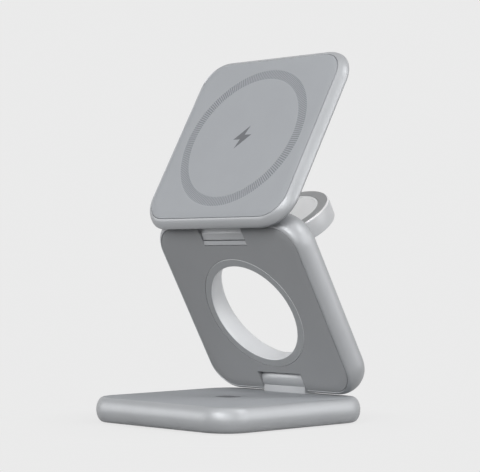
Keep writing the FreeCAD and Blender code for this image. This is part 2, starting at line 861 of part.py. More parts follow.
pin.pad(pin_section, "2 * cheek_half", middle=True)

# Board and flat cable on the back plate's inner face, one each side of the opening
block(
    "middle_circuit_board",
    MIDDLE,
    "strip_x",
    "-(middle_board_length / 2)",
    "cavity_width / 2 - middle_board_margin",
    "middle_board_length / 2",
    "-(middle_plate_z)",
    "board_thick",
)
block(
    "hinge_flex",
    MIDDLE,
    "flex_margin - cavity_width / 2",
    "-(flex_length / 2)",
    "-(strip_x)",
    "flex_length / 2",
    "-(middle_plate_z)",
    "flex_thick",
)

# Headed half pins and friction washers of both hinges, in the middle panel's frame
for name, sign in (("lower", -1), ("upper", 1)):
    pins = []
    washers = []
    for side in (-1, 1):
        along = FreeCAD.Vector(side, 0, 0)
        centre = FreeCAD.Vector(0, sign * value("axis_out"), 0)
        shank_end = value("block_half")
        start = shank_end - value("pin_length")
        head_end = shank_end + value("pin_head_thick")
        steps = [(start, shank_end, value("pin_radius")), (shank_end, head_end, value("pin_head_radius"))]
        pins.append(turned(steps, centre, along))
        gap = (value("notch_side") - value("washer_thick")) / 2
        inside = value("knuckle_width / 2") + gap
        ring = turned([(inside, inside + value("washer_thick"), value("washer_radius"))], centre, along)
        washers.append(ring.cut(Part.makeCylinder(value("pin_radius"), 2 * shank_end, centre, along)))
    group(name + "_hinge_pins", MIDDLE, pins)
    group(name + "_friction_washers", MIDDLE, washers)

# Top frame: a thin tray open to the front with a block that holds the upper leaf
top = panel_body("top_frame", TOP, "panel_length", "-(half_top)", "half_top")
face_seat = rounded(top.sketch("XY", "half_top"), "plate_width", "plate_length", "plate_radius")
top.pocket(face_seat, "face_thick")
top.pocket(
    rounded(top.sketch("XY", "top_plate_z"), "cavity_width", "cavity_length", "cavity_radius"),
    "top_plate_z - top_floor_z",
)
top.pad(
    box_outline(
        top.sketch("XY", "top_floor_z"),
        "-(knuckle_width / 2 + ledge_width)",
        "-(cavity_length / 2 + ledge_width / 2)",
        "knuckle_width / 2 + ledge_width",
        "stem_inner + ledge_width - axis_out",
    ),
    "top_plate_z - top_floor_z",
)
top.pocket(
    box_outline(
        top.sketch("XY", "-(half_top)"),
        "-(knuckle_width / 2)",
        "-(axis_out + stem_outer)",
        "knuckle_width / 2",
        "stem_inner - axis_out",
    ),
    "stem_end_top + half_top",
    upwards=True,
)
holes = top.sketch("XY", "top_plate_z")
heads = top.sketch("XY", "top_plate_z")
for side in ("", "-"):
    circle(holes, side + "screw_x", "stem_mid - axis_out", "screw_radius + seat_gap")
    circle(heads, side + "screw_x", "stem_mid - axis_out", "screw_head_radius + seat_gap")
top.pocket(holes, "top_thick / 2")
top.pocket(heads, "screw_head_thick")
screws(
    "upper_hinge_screws",
    TOP,
    [(s * value("screw_x"), value("stem_mid - axis_out")) for s in (-1, 1)],
    "top_plate_z",
    -1,
    "top_plate_z - stem_end_top + screw_bite",
)

# Face plate with a shallow groove, and the ring inlaid in it
face = Piece("top_face_plate", TOP)
face.pad(
    rounded(
        face.sketch("XY", "top_plate_z"),
        "plate_width - 2 * seat_gap",
        "plate_length - 2 * seat_gap",
        "plate_radius - seat_gap",
    ),
    "face_thick",
)
groove = circle(face.sketch("XY", "half_top"), "0", "0", "ring_outer")
circle(groove, "0", "0", "ring_inner")
face.pocket(groove, "ring_inlay_thick")
ring_floor = "half_top - ring_inlay_thick"
disc("charging_ring_inlay", TOP, "ring_outer", ring_floor, "ring_inlay_thick", "ring_inner")

# Arc magnets under the ring, the coil and its shield, and the board on the tray's floor
count = int(round(value("magnet_count")))
pitch = (360.0 - value("magnet_opening")) / count
first_turn = (value("magnet_opening") + value("magnet_gap_angle")) / 2 - 90.0
magnets = []
for i in range(count):
    foot_centre = FreeCAD.Vector(0, 0, value("top_plate_z - magnet_thick"))
    span = pitch - value("magnet_gap_angle")
    wedge = Part.makeCylinder(value("ring_outer"), value("magnet_thick"), foot_centre, Z_AXIS, span)
    wedge = wedge.cut(Part.makeCylinder(value("ring_inner"), value("magnet_thick"), foot_centre))
    wedge.rotate(FreeCAD.Vector(), Z_AXIS, first_turn + i * pitch)
    magnets.append(wedge)
group("ring_magnets", TOP, magnets)
disc("phone_coil", TOP, "phone_coil_outer", "phone_coil_z", "coil_thick", "phone_coil_inner")
disc("phone_ferrite", TOP, "phone_coil_outer + ferrite_rim", "phone_ferrite_z", "ferrite_thick")
block(
    "top_circuit_board",
    TOP,
    "-(top_board_width / 2)",
    "-(top_board_length / 2)",
    "top_board_width / 2",
    "top_board_length / 2",
    "top_floor_z",
    "board_thick",
)


def puck_turned(name, steps):
    """A turned piece about the puck's own centre line, from (radius, height) formulas."""
    piece = Piece(name, PUCK)
    section = piece.sketch("YZ")
    axis_line(section, "puck_arm", "puck_back", "puck_arm", "puck_face_rise")
    outline(section, [("puck_arm + " + r, z) for r, z in steps])
    piece.turn(section)
    return piece


# Watch puck: a ring-shaped housing with a hinge tab, a dished disc in its face and a cover behind
housing = Piece("puck_housing", PUCK)
tab = box_outline(
    housing.sketch("XY", "-(tab_radius)"), "-(tab_half)", "0", "tab_half", "puck_arm"
)
housing.pad(tab, "2 * tab_radius")
housing.pad(circle(housing.sketch("YZ"), "0", "0", "tab_radius"), "2 * tab_half", middle=True)
tab_bore = circle(housing.sketch("YZ"), "0", "0", "puck_pin_radius + pin_run")
housing.pocket(tab_bore, "2 * tab_half", middle=True)
solid = housing.sketch("YZ")
axis_line(solid, "puck_arm", "puck_back", "puck_arm", "puck_face_rise")
HOUSING_STEPS = [
    ("0", "puck_back"),
    ("puck_radius - face_bevel", "puck_back"),
    ("puck_radius", "puck_back + face_bevel"),
    ("puck_radius", "puck_face_rise - face_bevel"),
    ("puck_radius - face_bevel", "puck_face_rise"),
    ("0", "puck_face_rise"),
]
outline(solid, [("puck_arm + " + r, z) for r, z in HOUSING_STEPS])
housing.turn(solid)
hollow = housing.sketch("YZ")
axis_line(hollow, "puck_arm", "puck_back", "puck_arm", "puck_face_rise")
HOLLOW_STEPS = [
    ("0", "puck_back"),
    ("puck_bore", "puck_back"),
    ("puck_bore", "puck_lip_z"),
    ("disc_radius + seat_gap", "puck_lip_z"),
    ("disc_radius + seat_gap", "puck_face_rise"),
    ("0", "puck_face_rise"),
]
outline(hollow, [("puck_arm + " + r, z) for r, z in HOLLOW_STEPS])
housing.turn(hollow, cut=True)
puck_turned(
    "puck_disc",
    [
        ("0", "disc_flange_z"),
        ("puck_bore - seat_gap", "disc_flange_z"),
        ("puck_bore - seat_gap", "puck_lip_z"),
        ("disc_radius", "puck_lip_z"),
        ("disc_radius", "puck_face_rise"),
        ("disc_radius - disc_rim", "puck_face_rise"),
        ("disc_radius - disc_rim", "puck_face_rise - dish_depth"),
        ("0", "puck_face_rise - dish_depth"),
    ],
)


def puck_disc(name, radius, low, thick, hole=None):
    return disc(name, PUCK, radius, low, thick, hole, "0", "puck_arm")


puck_disc("puck_coil", "puck_coil_outer", "puck_coil_z", "coil_thick", "puck_coil_inner")
puck_disc("puck_magnet", "puck_magnet_radius", "puck_coil_z", "coil_thick")
puck_disc("puck_ferrite", "puck_coil_outer + ferrite_rim", "puck_ferrite_z", "ferrite_thick")
puck_disc("puck_board", "puck_board_radius", "puck_cover_z", "puck_board_thick")
puck_disc("puck_back_cover", "puck_bore - seat_gap", "puck_back", "puck_cover_thick")

doc.recompute()
os.makedirs("parts", exist_ok=True)
broken = [o.Name for o in doc.Objects if "Invalid" in o.State or "Error" in o.State]
if broken:
    raise RuntimeError("features that failed: " + ", ".join(broken))
for name, made in parts.items():
    if made.Shape.isNull() or not made.Shape.isValid() or not made.Shape.Solids:
        raise RuntimeError("no good solid in " + name)
for name, made in parts.items():
    made.Shape.exportStep("parts/" + name + ".step")
print(len(parts), "pieces written")
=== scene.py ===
"""Looks of a foldable charging stand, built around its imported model.

Every new piece is a surface worked out with numpy in the frame of the body that carries it. Lengths in this
script are millimetres, and the meshes are written in metres.
"""

import json
import logging
import math
from dataclasses import dataclass, field
from enum import Enum

import bmesh
import bpy
import numpy as np
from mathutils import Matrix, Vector


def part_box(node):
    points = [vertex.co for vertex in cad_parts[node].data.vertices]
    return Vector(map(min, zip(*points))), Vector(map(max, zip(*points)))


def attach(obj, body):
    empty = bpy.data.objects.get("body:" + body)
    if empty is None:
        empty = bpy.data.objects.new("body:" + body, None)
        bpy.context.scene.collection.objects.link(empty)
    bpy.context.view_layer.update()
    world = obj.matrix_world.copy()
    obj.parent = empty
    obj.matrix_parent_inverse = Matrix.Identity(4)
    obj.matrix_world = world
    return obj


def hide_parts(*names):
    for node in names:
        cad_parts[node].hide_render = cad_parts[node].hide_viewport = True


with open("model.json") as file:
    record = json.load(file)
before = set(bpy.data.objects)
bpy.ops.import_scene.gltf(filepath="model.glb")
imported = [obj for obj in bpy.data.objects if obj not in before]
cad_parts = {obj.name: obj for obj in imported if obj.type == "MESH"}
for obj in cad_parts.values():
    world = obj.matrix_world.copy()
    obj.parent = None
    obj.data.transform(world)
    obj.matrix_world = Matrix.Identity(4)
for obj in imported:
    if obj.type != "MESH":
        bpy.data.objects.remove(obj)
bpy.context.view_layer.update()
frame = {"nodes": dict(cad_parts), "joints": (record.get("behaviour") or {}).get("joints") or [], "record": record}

logging.basicConfig(level=logging.INFO, format="%(message)s")
LOG = logging.getLogger("charging_stand")

MM = 0.001
SMOOTH_ANGLE = math.radians(32.0)
# Attribute for how deep a point lies in a groove, by which the ring's finish paints shade
GROOVE = "groove"
BAR_STEPS = 48
# Points closer than this, in metres, are merged
MERGE = 1e-7
# How far a bevel's middle row lies from the bevel's corner, as a share of its size
BEVEL_ROUND = 0.3
# Bands in each unit of length of a wave texture whose scale is one
WAVES_PER_UNIT = 3.2
# Values between which most of a noise lies
NOISE_MIDDLE = (0.3, 0.7)
# Noise cells in a metre for the drift of a finish's colour and of its roughness
TONE_SCALE = 60.0
ROUGH_SCALE = 900.0
# How far the roughness drifts
ROUGH_DRIFT = 0.03
# Strength of the grain's relief
GRAIN_STRENGTH = 0.6


class Body(Enum):
    """The bodies of the stand that pieces ride on."""

    BASE = "base"
    MIDDLE = "middle"
    TOP = "top"
    PUCK = "puck"


class Carve(Enum):
    """How one closed form acts on another."""

    CUT = "DIFFERENCE"
    JOIN = "UNION"


@dataclass(frozen=True)
class Placing:
    """A frame of its own for a body's pieces: X to the right, Y up along the piece, Z out of its face.

    Args:
        origin: place of the frame's origin in the row frame, in millimetres.
        normal: direction of the frame's Z in the row frame.
    """

    origin: np.ndarray
    normal: np.ndarray

    def axes(self) -> np.ndarray:
        """Rows are the frame's X, Y and Z directions."""
        right = np.array([1.0, 0.0, 0.0])
        return np.stack([right, np.cross(self.normal, right), self.normal])

    def to_row(self, points: np.ndarray) -> np.ndarray:
        """Points carried to the row frame in metres: the origin plus each coordinate times its axis."""
        return (self.origin + points @ self.axes()) * MM

    def shifted(self, along: float, out: float) -> "Placing":
        """The same frame moved along its own Y and Z."""
        return Placing(self.origin + along * self.axes()[1] + out * self.axes()[2], self.normal)


def joint_point(name: str) -> np.ndarray:
    """Where a hinge's axis crosses the middle plane, in millimetres."""
    found = [j for j in frame["joints"] if j["name"] == name]
    return np.array(found[0]["pos_m"]) / MM


def mount_axis(name: str) -> np.ndarray:
    """The outward direction of one of the record's mounts.

    Args:
        name: the mount's name.

    Returns:
        Its unit direction in the row frame.
    """
    found = [m for m in frame["record"]["mounts"] if m["name"] == name]
    axis = np.array(found[0]["axis"], float)
    return axis / np.linalg.norm(axis)


@dataclass
class Sizes:
    """Sizes shared by the panels, in millimetres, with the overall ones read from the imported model.

    Args:
        length: length of the middle and top panels.
        middle_thick: thickness of the middle panel.
        top_thick: thickness of the top panel.
        corner: radius of the panels' corners.
        bulge: how far the edges stand out past the plates.
        ledge: width of the ledge that a plate lies on.
        plate: thickness of the base's and the middle panel's plates.
        face: thickness of the top panel's plate.
        seat_gap: clearance round a piece in its seat.
        axis_inset: distance of a hinge axis from the panel's end.
        fold_gap: gap between two folded panels.
        stem_inner: reach of a hinge's stem from its axis towards the panel's middle.
        stem_outer: reach of that stem towards the panel's end.
        knuckle_half: half of a knuckle's width.
        notch_half: half of the width of a hinge notch.
        notch_depth: depth of a notch from the hinge axis.
        notch_wall: wall behind a notch.
        block_half: half of the width of the solid block round a hinge.
        pad_proud: how far the foot pad stands out below the base.
        hole_y: centre of the round opening along the middle panel.
        hole_radius: radius of the opening at the front.
        hole_back: its radius where the flare begins.
        flare_radius: its radius at the back.
        flare_depth: depth of the flare.
        bezel_radius: outer radius of the lining's front rim.
        well_radius: outer radius of the lining at the back.
        lip_wide: width of the groove round a plate.
        lip_deep: depth of that groove.
        past: how far a cutting form passes what it cuts.

    Attributes:
        width: width of the base and of both panels.
        base_depth: depth of the base, front to back.
        base_top: height of the base's plate.
    """

    width: float = field(init=False)
    base_depth: float = field(init=False)
    base_top: float = field(init=False)
    length: float = 69.4
    middle_thick: float = 9.0
    top_thick: float = 4.8
    corner: float = 11.5
    bulge: float = 2.4
    ledge: float = 2.0
    plate: float = 1.0
    face: float = 0.8
    seat_gap: float = 0.1
    axis_inset: float = 4.5
    fold_gap: float = 0.8
    stem_inner: float = 3.25
    stem_outer: float = 2.0
    knuckle_half: float = 10.0
    notch_half: float = 10.5
    notch_depth: float = 4.6
    notch_wall: float = 1.2
    block_half: float = 17.2
    pad_proud: float = 0.4
    hole_y: float = -1.4
    hole_radius: float = 18.7
    hole_back: float = 20.2
    flare_radius: float = 21.6
    flare_depth: float = 1.8
    bezel_radius: float = 21.6
    well_radius: float = 22.5
    lip_wide: float = 0.16
    lip_deep: float = 0.22
    past: float = 1.0

    def __post_init__(self) -> None:
        """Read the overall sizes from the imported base."""
        low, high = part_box("base_shell")
        self.width = (high.x - low.x) / MM
        self.base_depth = (high.y - low.y) / MM
        self.base_top = high.z / MM

    @property
    def axis_out(self) -> float:
        """Distance of each hinge axis from the middle of a panel."""
        return self.length / 2 - self.axis_inset


SIZES = Sizes()


def panel_frames() -> dict[Body, Placing]:
    """The frame of each body: at the centre of each panel, and on the puck's hinge axis.

    Returns:
        The frames by body.
    """
    lower, upper = joint_point("lower_hinge"), joint_point("upper_hinge")
    along = (upper - lower) / np.linalg.norm(upper - lower)
    middle = Placing((lower + upper) / 2, np.cross([1.0, 0.0, 0.0], along))
    top = Placing(upper, mount_axis("phone_face"))
    rise = SIZES.middle_thick / 2 + SIZES.fold_gap + SIZES.top_thick / 2
    return {
        Body.BASE: Placing(np.zeros(3), np.array([0.0, 0.0, 1.0])),
        Body.MIDDLE: middle,
        Body.TOP: top.shifted(SIZES.axis_out, rise),
        Body.PUCK: Placing(joint_point("puck_hinge"), mount_axis("watch_face")),
    }


FRAMES = panel_frames()


class Form:
    """A closed mesh under construction: points in a body's frame and the faces between them."""

    def __init__(self) -> None:
        """Start with nothing."""
        self.points: list[np.ndarray] = []
        self.faces: list[list[int]] = []
        self.count = 0

    def grid(self, net: np.ndarray, around: bool, along: bool) -> "Form":
        """Add a net of points with a quad in each cell.

        Args:
            net: points as rows by columns by 3.
            around: whether the last row joins the first.
            along: whether the last column joins the first.

        Returns:
            This form, so that calls can be chained.
        """
        rows, columns = net.shape[:2]
        index = self.count + np.arange(rows * columns).reshape(rows, columns)
        below = np.roll(index, -1, axis=0)
        beside = np.roll(index, -1, axis=1)
        across = np.roll(below, -1, axis=1)
        quads = np.stack([index, below, across, beside], axis=-1)
        quads = quads[: rows if around else rows - 1, : columns if along else columns - 1]
        self.faces.extend(quads.reshape(-1, 4).tolist())
        self.points.append(net.reshape(-1, 3))
        self.count += rows * columns
        return self

    def tube(self, net: np.ndarray) -> "Form":
        """Add a net whose last row joins the first, with a flat face over its first and its last column.

        Args:
            net: points as rows by columns by 3.

        Returns:
            This form, so that calls can be chained.
        """
        rows, columns = net.shape[:2]
        first = self.count + np.arange(rows) * columns
        self.grid(net, around=True, along=False)
        self.faces += [first.tolist(), (first[::-1] + columns - 1).tolist()]
        return self

    def build(self, name: str, placing: Placing) -> bpy.types.Object:
        """Write the mesh in the row frame, with its faces turned outwards.

        Args:
            name: the piece's name.
            placing: the frame that the points are in.

        Returns:
            The new object, at the origin.
        """
        mesh = bpy.data.meshes.new(name)
        world = placing.to_row(np.concatenate(self.points))
        mesh.from_pydata(world.tolist(), [], self.faces)
        made = bpy.data.objects.new(name, mesh)
        bpy.context.scene.collection.objects.link(made)
        face_outwards(made)
        return made


def face_outwards(piece: bpy.types.Object) -> None:
    """Merge doubles, then turn all faces of a closed mesh outwards.

    Args:
        piece: the object.
    """
    work = bmesh.new()
    work.from_mesh(piece.data)
    bmesh.ops.remove_doubles(work, verts=work.verts, dist=MERGE)
    bmesh.ops.recalc_face_normals(work, faces=work.faces)
    work.to_mesh(piece.data)
    work.free()


def carve(piece: bpy.types.Object, tool: bpy.types.Object, how: Carve) -> None:
    """Cut a closed form out of another, or join it on, and take the tool away.

    Args:
        piece: the form that changes.
        tool: the form that cuts or joins.
        how: which of the two.
    """
    step = piece.modifiers.new("carve", "BOOLEAN")
    step.operation = how.value
    step.solver = "EXACT"
    step.object = tool
    graph = bpy.context.evaluated_depsgraph_get()
    shaped = bpy.data.meshes.new_from_object(piece.evaluated_get(graph))
    piece.modifiers.clear()
    old = piece.data
    piece.data = shaped
    bpy.data.meshes.remove(old)
    bpy.data.objects.remove(tool)


def smooth(piece: bpy.types.Object) -> None:
    """Shade a mesh smooth with crisp edges where it turns by more than the smoothing angle.

    Args:
        piece: the object.
    """
    mesh = piece.data
    mesh.polygons.foreach_set("use_smooth", np.ones(len(mesh.polygons), bool))
    mesh.set_sharp_from_angle(angle=SMOOTH_ANGLE)
    mesh.update()


def rounded_path(
    half_x: float, half_y: float, radius: float, corner_steps: int, side_steps: int
) -> np.ndarray:
    """Round-cornered rectangle: each point is its corner's centre plus the radius times a direction.

    Args:
        half_x: half of the width.
        half_y: half of the length.
        radius: corner radius.
        corner_steps: spans in each quarter turn.
        side_steps: spans along each straight side.

    Returns:
        Rows of centre x, centre y, direction x, direction y.
    """
    rows = []
    corners = [(1, 1), (-1, 1), (-1, -1), (1, -1)]
    centres = [np.array([sx * (half_x - radius), sy * (half_y - radius)]) for sx, sy in corners]
    for i in range(4):
        swept = math.pi / 2 * (i + np.linspace(0, 1, corner_steps + 1))
        ways = np.stack([np.cos(swept), np.sin(swept)], axis=-1)
        rows.append(np.hstack([np.tile(centres[i], (len(swept), 1)), ways]))
        share = np.linspace(0, 1, side_steps + 1)[1:-1, None]
        between = centres[i] + share * (centres[(i + 1) % 4] - centres[i])
        rows.append(np.hstack([between, np.tile(ways[-1], (len(between), 1))]))
    return np.concatenate(rows)


def swept_form(profile: np.ndarray, path: np.ndarray, radius: float, closed: bool) -> Form:
    """Carry a profile round a path: centre + (radius - inset) * direction, at the profile's height.

    Args:
        profile: rows of inset and height.
        path: rows from rounded_path.
        radius: the path's corner radius.
        closed: whether the profile is a loop; if not, its two ends are closed with flat faces.

    Returns:
        The form.
    """
    reach = radius - profile[None, :, 0]
    x = path[:, None, 0] + reach * path[:, None, 2]
    y = path[:, None, 1] + reach * path[:, None, 3]
    z = np.broadcast_to(profile[None, :, 1], x.shape)
    net = np.stack([x, y, z], axis=-1)
    return Form().grid(net, around=True, along=True) if closed else Form().tube(net)


def turned_form(profile: np.ndarray, centre_y: float, steps: int, closed: bool) -> Form:
    """Turn a profile about a line out of the face: x is radius times sine, y is radius times cosine.

    Args:
        profile: rows of radius and height.
        centre_y: the centre's place along the frame's Y.
        steps: spans in the full turn.
        closed: whether the profile is a loop; if not, its two ends are closed with flat faces.

    Returns:
        The form.
    """
    angle = np.linspace(0, 2 * math.pi, steps, endpoint=False)[:, None]
    radius = profile[None, :, 0]
    x = radius * np.sin(angle)
    y = centre_y + radius * np.cos(angle)
    z = np.broadcast_to(profile[None, :, 1], x.shape)
    net = np.stack([x, y, z], axis=-1)
    return Form().grid(net, around=True, along=True) if closed else Form().tube(net)


def extruded_form(outline: np.ndarray, half: float, bevel: float) -> Form:
    """Carry an outline in the YZ plane along X: at both ends it is drawn in towards its middle by the bevel.

    Args:
        outline: rows of y and z, in order round the piece.
        half: half of its width along X.
        bevel: size of the bevel at each end.

    Returns:
        The form.
    """
    middle = outline.mean(axis=0)
    size = np.abs(outline - middle).max()
    stations = [(-half, bevel), (-half + bevel, 0.0), (half - bevel, 0.0), (half, bevel)]
    rings = []
    for x, drawn in stations:
        ring = middle + (outline - middle) * (1 - drawn / size)
        rings.append(np.column_stack([np.full(len(ring), x), ring]))
    return Form().tube(np.stack(rings, axis=1))


def prism_form(outline: np.ndarray, ends: tuple[float, float], axis: int) -> Form:
    """Carry an outline straight along an axis: each ring is the outline with the end's place put in.

    Args:
        outline: rows of the two other coordinates, in order round the piece.
        ends: where the piece starts and stops along the axis.
        axis: 0 for X, 1 for Y or 2 for Z.

    Returns:
        The form.
    """
    rings = [np.insert(outline.astype(float), axis, end, axis=1) for end in ends]
    return Form().tube(np.stack(rings, axis=1))


def block_form(low: tuple[float, float, float], high: tuple[float, float, float]) -> Form:
    """A plain block between two corners, used to cut and to join."""
    (x0, y0, z0), (x1, y1, z1) = low, high
    return prism_form(np.array([(y0, z0), (y1, z0), (y1, z1), (y0, z1)]), (x0, x1), 0)


def bar_form(y: float, z: float, radius: float, half: float) -> Form:
    """A round bar along X: centre plus radius times the cosine and the sine of an angle.

    Args:
        y: place of its centre along Y.
        z: place of its centre along Z.
        radius: its radius.
        half: half of its length.

    Returns:
        The form.
    """
    angle = np.linspace(0, 2 * math.pi, BAR_STEPS, endpoint=False)
    circle = np.stack([y + radius * np.cos(angle), z + radius * np.sin(angle)], axis=-1)
    return prism_form(circle, (-half, half), 0)


class Nodes:
    """The nodes of one tree, with short ways to make and link them."""

    def __init__(self, tree: bpy.types.NodeTree) -> None:
        """Keep the tree that the nodes go into."""
        self.tree = tree

    def node(self, kind: str, **settings: object) -> bpy.types.Node:
        """A new node with some of its settings and input values set.

        Args:
            kind: the node's type.
            settings: its settings and input values by name.

        Returns:
            The node.
        """
        made = self.tree.nodes.new(kind)
        for key, value in settings.items():
            if key in made.inputs:
                made.inputs[key].default_value = value
            else:
                setattr(made, key, value)
        return made

    def link(self, source: bpy.types.NodeSocket, target: bpy.types.NodeSocket) -> None:
        """Join two sockets."""
        self.tree.links.new(source, target)

    def math(
        self, operation: str, first: bpy.types.NodeSocket, second: bpy.types.NodeSocket
    ) -> bpy.types.NodeSocket:
        """One number worked out from two.

        Args:
            operation: the node's operation.
            first: the first number.
            second: the second number.

        Returns:
            The result's socket.
        """
        made = self.node("ShaderNodeMath", operation=operation)
        self.link(first, made.inputs[0])
        self.link(second, made.inputs[1])
        return made.outputs[0]

    def ramp(
        self, source: bpy.types.NodeSocket, ends: tuple[float, float], levels: tuple, **settings: object
    ) -> bpy.types.NodeSocket:
        """Carry a number from one range to another, clamped at both ends.

        Args:
            source: the number.
            ends: lowest and highest value that it has.
            levels: what comes out at these two, each a number or another node's output.
            settings: settings of the node.

        Returns:
            The output.
        """
        made = self.node("ShaderNodeMapRange", **settings)
        for key, value in zip(("From Min", "From Max", "To Min", "To Max"), ends + levels):
            if isinstance(value, bpy.types.NodeSocket):
                self.link(value, made.inputs[key])
            else:
                made.inputs[key].default_value = value
        self.link(source, made.inputs["Value"])
        return made.outputs["Result"]

    def seen(self) -> bpy.types.NodeSocket:
        """One for camera, glossy and transmission rays, nought for the rest.

        Returns:
            The number's socket.
        """
        path = self.node("ShaderNodeLightPath")
        mirrored = self.math("MAXIMUM", path.outputs["Is Camera Ray"], path.outputs["Is Glossy Ray"])
        return self.math("MAXIMUM", mirrored, path.outputs["Is Transmission Ray"])


class Shade(Nodes):
    """The nodes of one material, round its Principled shader."""

    def __init__(self, name: str) -> None:
        """Start a material with its Principled shader.

        Args:
            name: the material's name.
        """
        self.material = bpy.data.materials.new(name)
        self.material.use_nodes = True
        super().__init__(self.material.node_tree)
        self.surface = self.tree.nodes["Principled BSDF"]

    def place(self) -> bpy.types.NodeSocket:
        """Object coordinates, in metres."""
        return self.node("ShaderNodeTexCoord").outputs["Object"]

    def noise(self, scale: float, detail: float = 3.0) -> bpy.types.NodeSocket:
        """Noise on Object coordinates, from 0 to 1.

        Args:
            scale: cells in a metre.
            detail: how many finer layers are added.

        Returns:
            The noise's socket.
        """
        made = self.node("ShaderNodeTexNoise", Scale=scale, Detail=detail, Roughness=0.55)
        self.link(self.place(), made.inputs["Vector"])
        return made.outputs["Fac"]

    def span(self, source: bpy.types.NodeSocket, low: float, high: float) -> bpy.types.NodeSocket:
        """Carry the middle of a noise to a range of numbers."""
        return self.ramp(source, NOISE_MIDDLE, (low, high))

    def blend(self, source: bpy.types.NodeSocket, first: tuple, second: tuple) -> bpy.types.NodeSocket:
        """Mix two colours by a number from 0 to 1.

        Args:
            source: the number.
            first: the colour at 0.
            second: the colour at 1.

        Returns:
            The colour's socket.
        """
        made = self.node("ShaderNodeMix", data_type="RGBA")
        made.inputs["A"].default_value = (*first, 1.0)
        made.inputs["B"].default_value = (*second, 1.0)
        self.link(source, made.inputs["Factor"])
        return made.outputs["Result"]

    def bump(self, source: bpy.types.NodeSocket, strength: float, depth: float) -> None:
        """Raise the surface by a height from 0 to 1 times a depth in metres.

        Args:
            source: the height.
            strength: share of the effect.
            depth: the depth.
        """
        made = self.node("ShaderNodeBump", Strength=strength, Distance=depth)
        self.link(source, made.inputs["Height"])
        self.link(made.outputs["Normal"], self.surface.inputs["Normal"])

    def set(self, **values: object) -> None:
        """Set inputs of the shader that stay the same all over."""
        for key, value in values.items():
            self.surface.inputs[key.replace("_", " ")].default_value = value


def toned(colour: tuple[float, float, float], share: float) -> tuple[float, float, float]:
    """A colour made lighter or darker by a share."""
    return tuple(min(1.0, c * share) for c in colour)


# Materials made so far, by the name of their finish
MADE: dict[str, bpy.types.Material] = {}


@dataclass(frozen=True)
class Finish:
    """A surface finish: colour with a faint drift, roughness with a faint drift, and a fine grain.

    Args:
        name: the material's name.
        colour: linear base colour.
        rough: mean roughness.
        metal: metallic share.
        grain: how many grains there are in a millimetre.
        relief: depth of the grain in micrometres.
        drift: how far the colour drifts, as a share.
        coat: share of a thin clear coat.
        gloss: specular level of the bare surface.
    """

    name: str
    colour: tuple[float, float, float]
    rough: float
    metal: float = 0.0
    grain: float = 8.0
    relief: float = 6.0
    drift: float = 0.03
    coat: float = 0.0
    gloss: float = 0.5

    def tint(self, shade: Shade) -> bpy.types.NodeSocket:
        """The colour: two tones mixed by a slow noise."""
        slow = shade.span(shade.noise(TONE_SCALE), 0.0, 1.0)
        return shade.blend(slow, toned(self.colour, 1 - self.drift), toned(self.colour, 1 + self.drift))

    def height(self, shade: Shade) -> bpy.types.NodeSocket:
        """The relief: a fine noise."""
        return shade.noise(self.grain / MM, detail=2.0)

    def material(self) -> bpy.types.Material:
        """Build the material once and keep it for the next piece.

        Returns:
            The material.
        """
        if self.name in MADE:
            return MADE[self.name]
        shade = Shade(self.name)
        shade.set(Metallic=self.metal, Coat_Weight=self.coat, Specular_IOR_Level=self.gloss)
        shade.link(self.tint(shade), shade.surface.inputs["Base Color"])
        drift = shade.noise(ROUGH_SCALE)
        rough = shade.span(drift, self.rough - ROUGH_DRIFT, self.rough + ROUGH_DRIFT)
        shade.link(rough, shade.surface.inputs["Roughness"])
        shade.bump(self.height(shade), GRAIN_STRENGTH, self.relief * MM * MM)
        MADE[self.name] = shade.material
        return shade.material


@dataclass(frozen=True)
class BrushedFinish(Finish):
    """Metal with fine turning or rolling marks across the piece.

    Args:
        drawn: how often the marks change along X, as a share of how often they do across it.
    """

    drawn: float = 0.03

    def height(self, shade: Shade) -> bpy.types.NodeSocket:
        """The relief: a noise drawn out along X.

        Args:
            shade: the material's nodes.

        Returns:
            The height's socket.
        """
        stretch = shade.node("ShaderNodeMapping")
        stretch.inputs["Scale"].default_value = (self.drawn, 1.0, 1.0)
        shade.link(shade.place(), stretch.inputs["Vector"])
        made = shade.node("ShaderNodeTexNoise", Scale=self.grain / MM, Detail=3.0)
        shade.link(stretch.outputs["Vector"], made.inputs["Vector"])
        return made.outputs["Fac"]


@dataclass(frozen=True)
class BandedFinish(Finish):
    """A wound or layered finish: two tones in fine bands that follow the piece.

    Args:
        second: the colour between the bands.
        pitch: distance between bands in millimetres.
        waver: how far the bands stray from true rings.
    """

    second: tuple[float, float, float] = (0.1, 0.1, 0.1)
    pitch: float = 0.5
    waver: float = 0.4

    def tint(self, shade: Shade) -> bpy.types.NodeSocket:
        """The colour: two tones mixed by ring-shaped waves.

        Args:
            shade: the material's nodes.

        Returns:
            The colour's socket.
        """
        made = shade.node("ShaderNodeTexWave", wave_type="RINGS", Distortion=self.waver)
        made.inputs["Scale"].default_value = 1.0 / (self.pitch * MM * WAVES_PER_UNIT)
        shade.link(shade.place(), made.inputs["Vector"])
        return shade.blend(made.outputs["Fac"], self.colour, self.second)


@dataclass(frozen=True)
class GrooveShadedFinish(Finish):
    """A finish whose grooves are painted darker, as painted shade: the piece's own attribute says how deep each
    point lies.

    Args:
        groove: the colour at the bottom of a groove, a painted shade.
    """

    groove: tuple[float, float, float] = (0.1, 0.1, 0.1)

    def tint(self, shade: Shade) -> bpy.types.NodeSocket:
        """The colour: two tones mixed by the groove attribute, so shade is painted into the grooves."""
        depth = shade.node("ShaderNodeAttribute", attribute_name=GROOVE)
        return shade.blend(depth.outputs["Fac"], self.colour, self.groove)


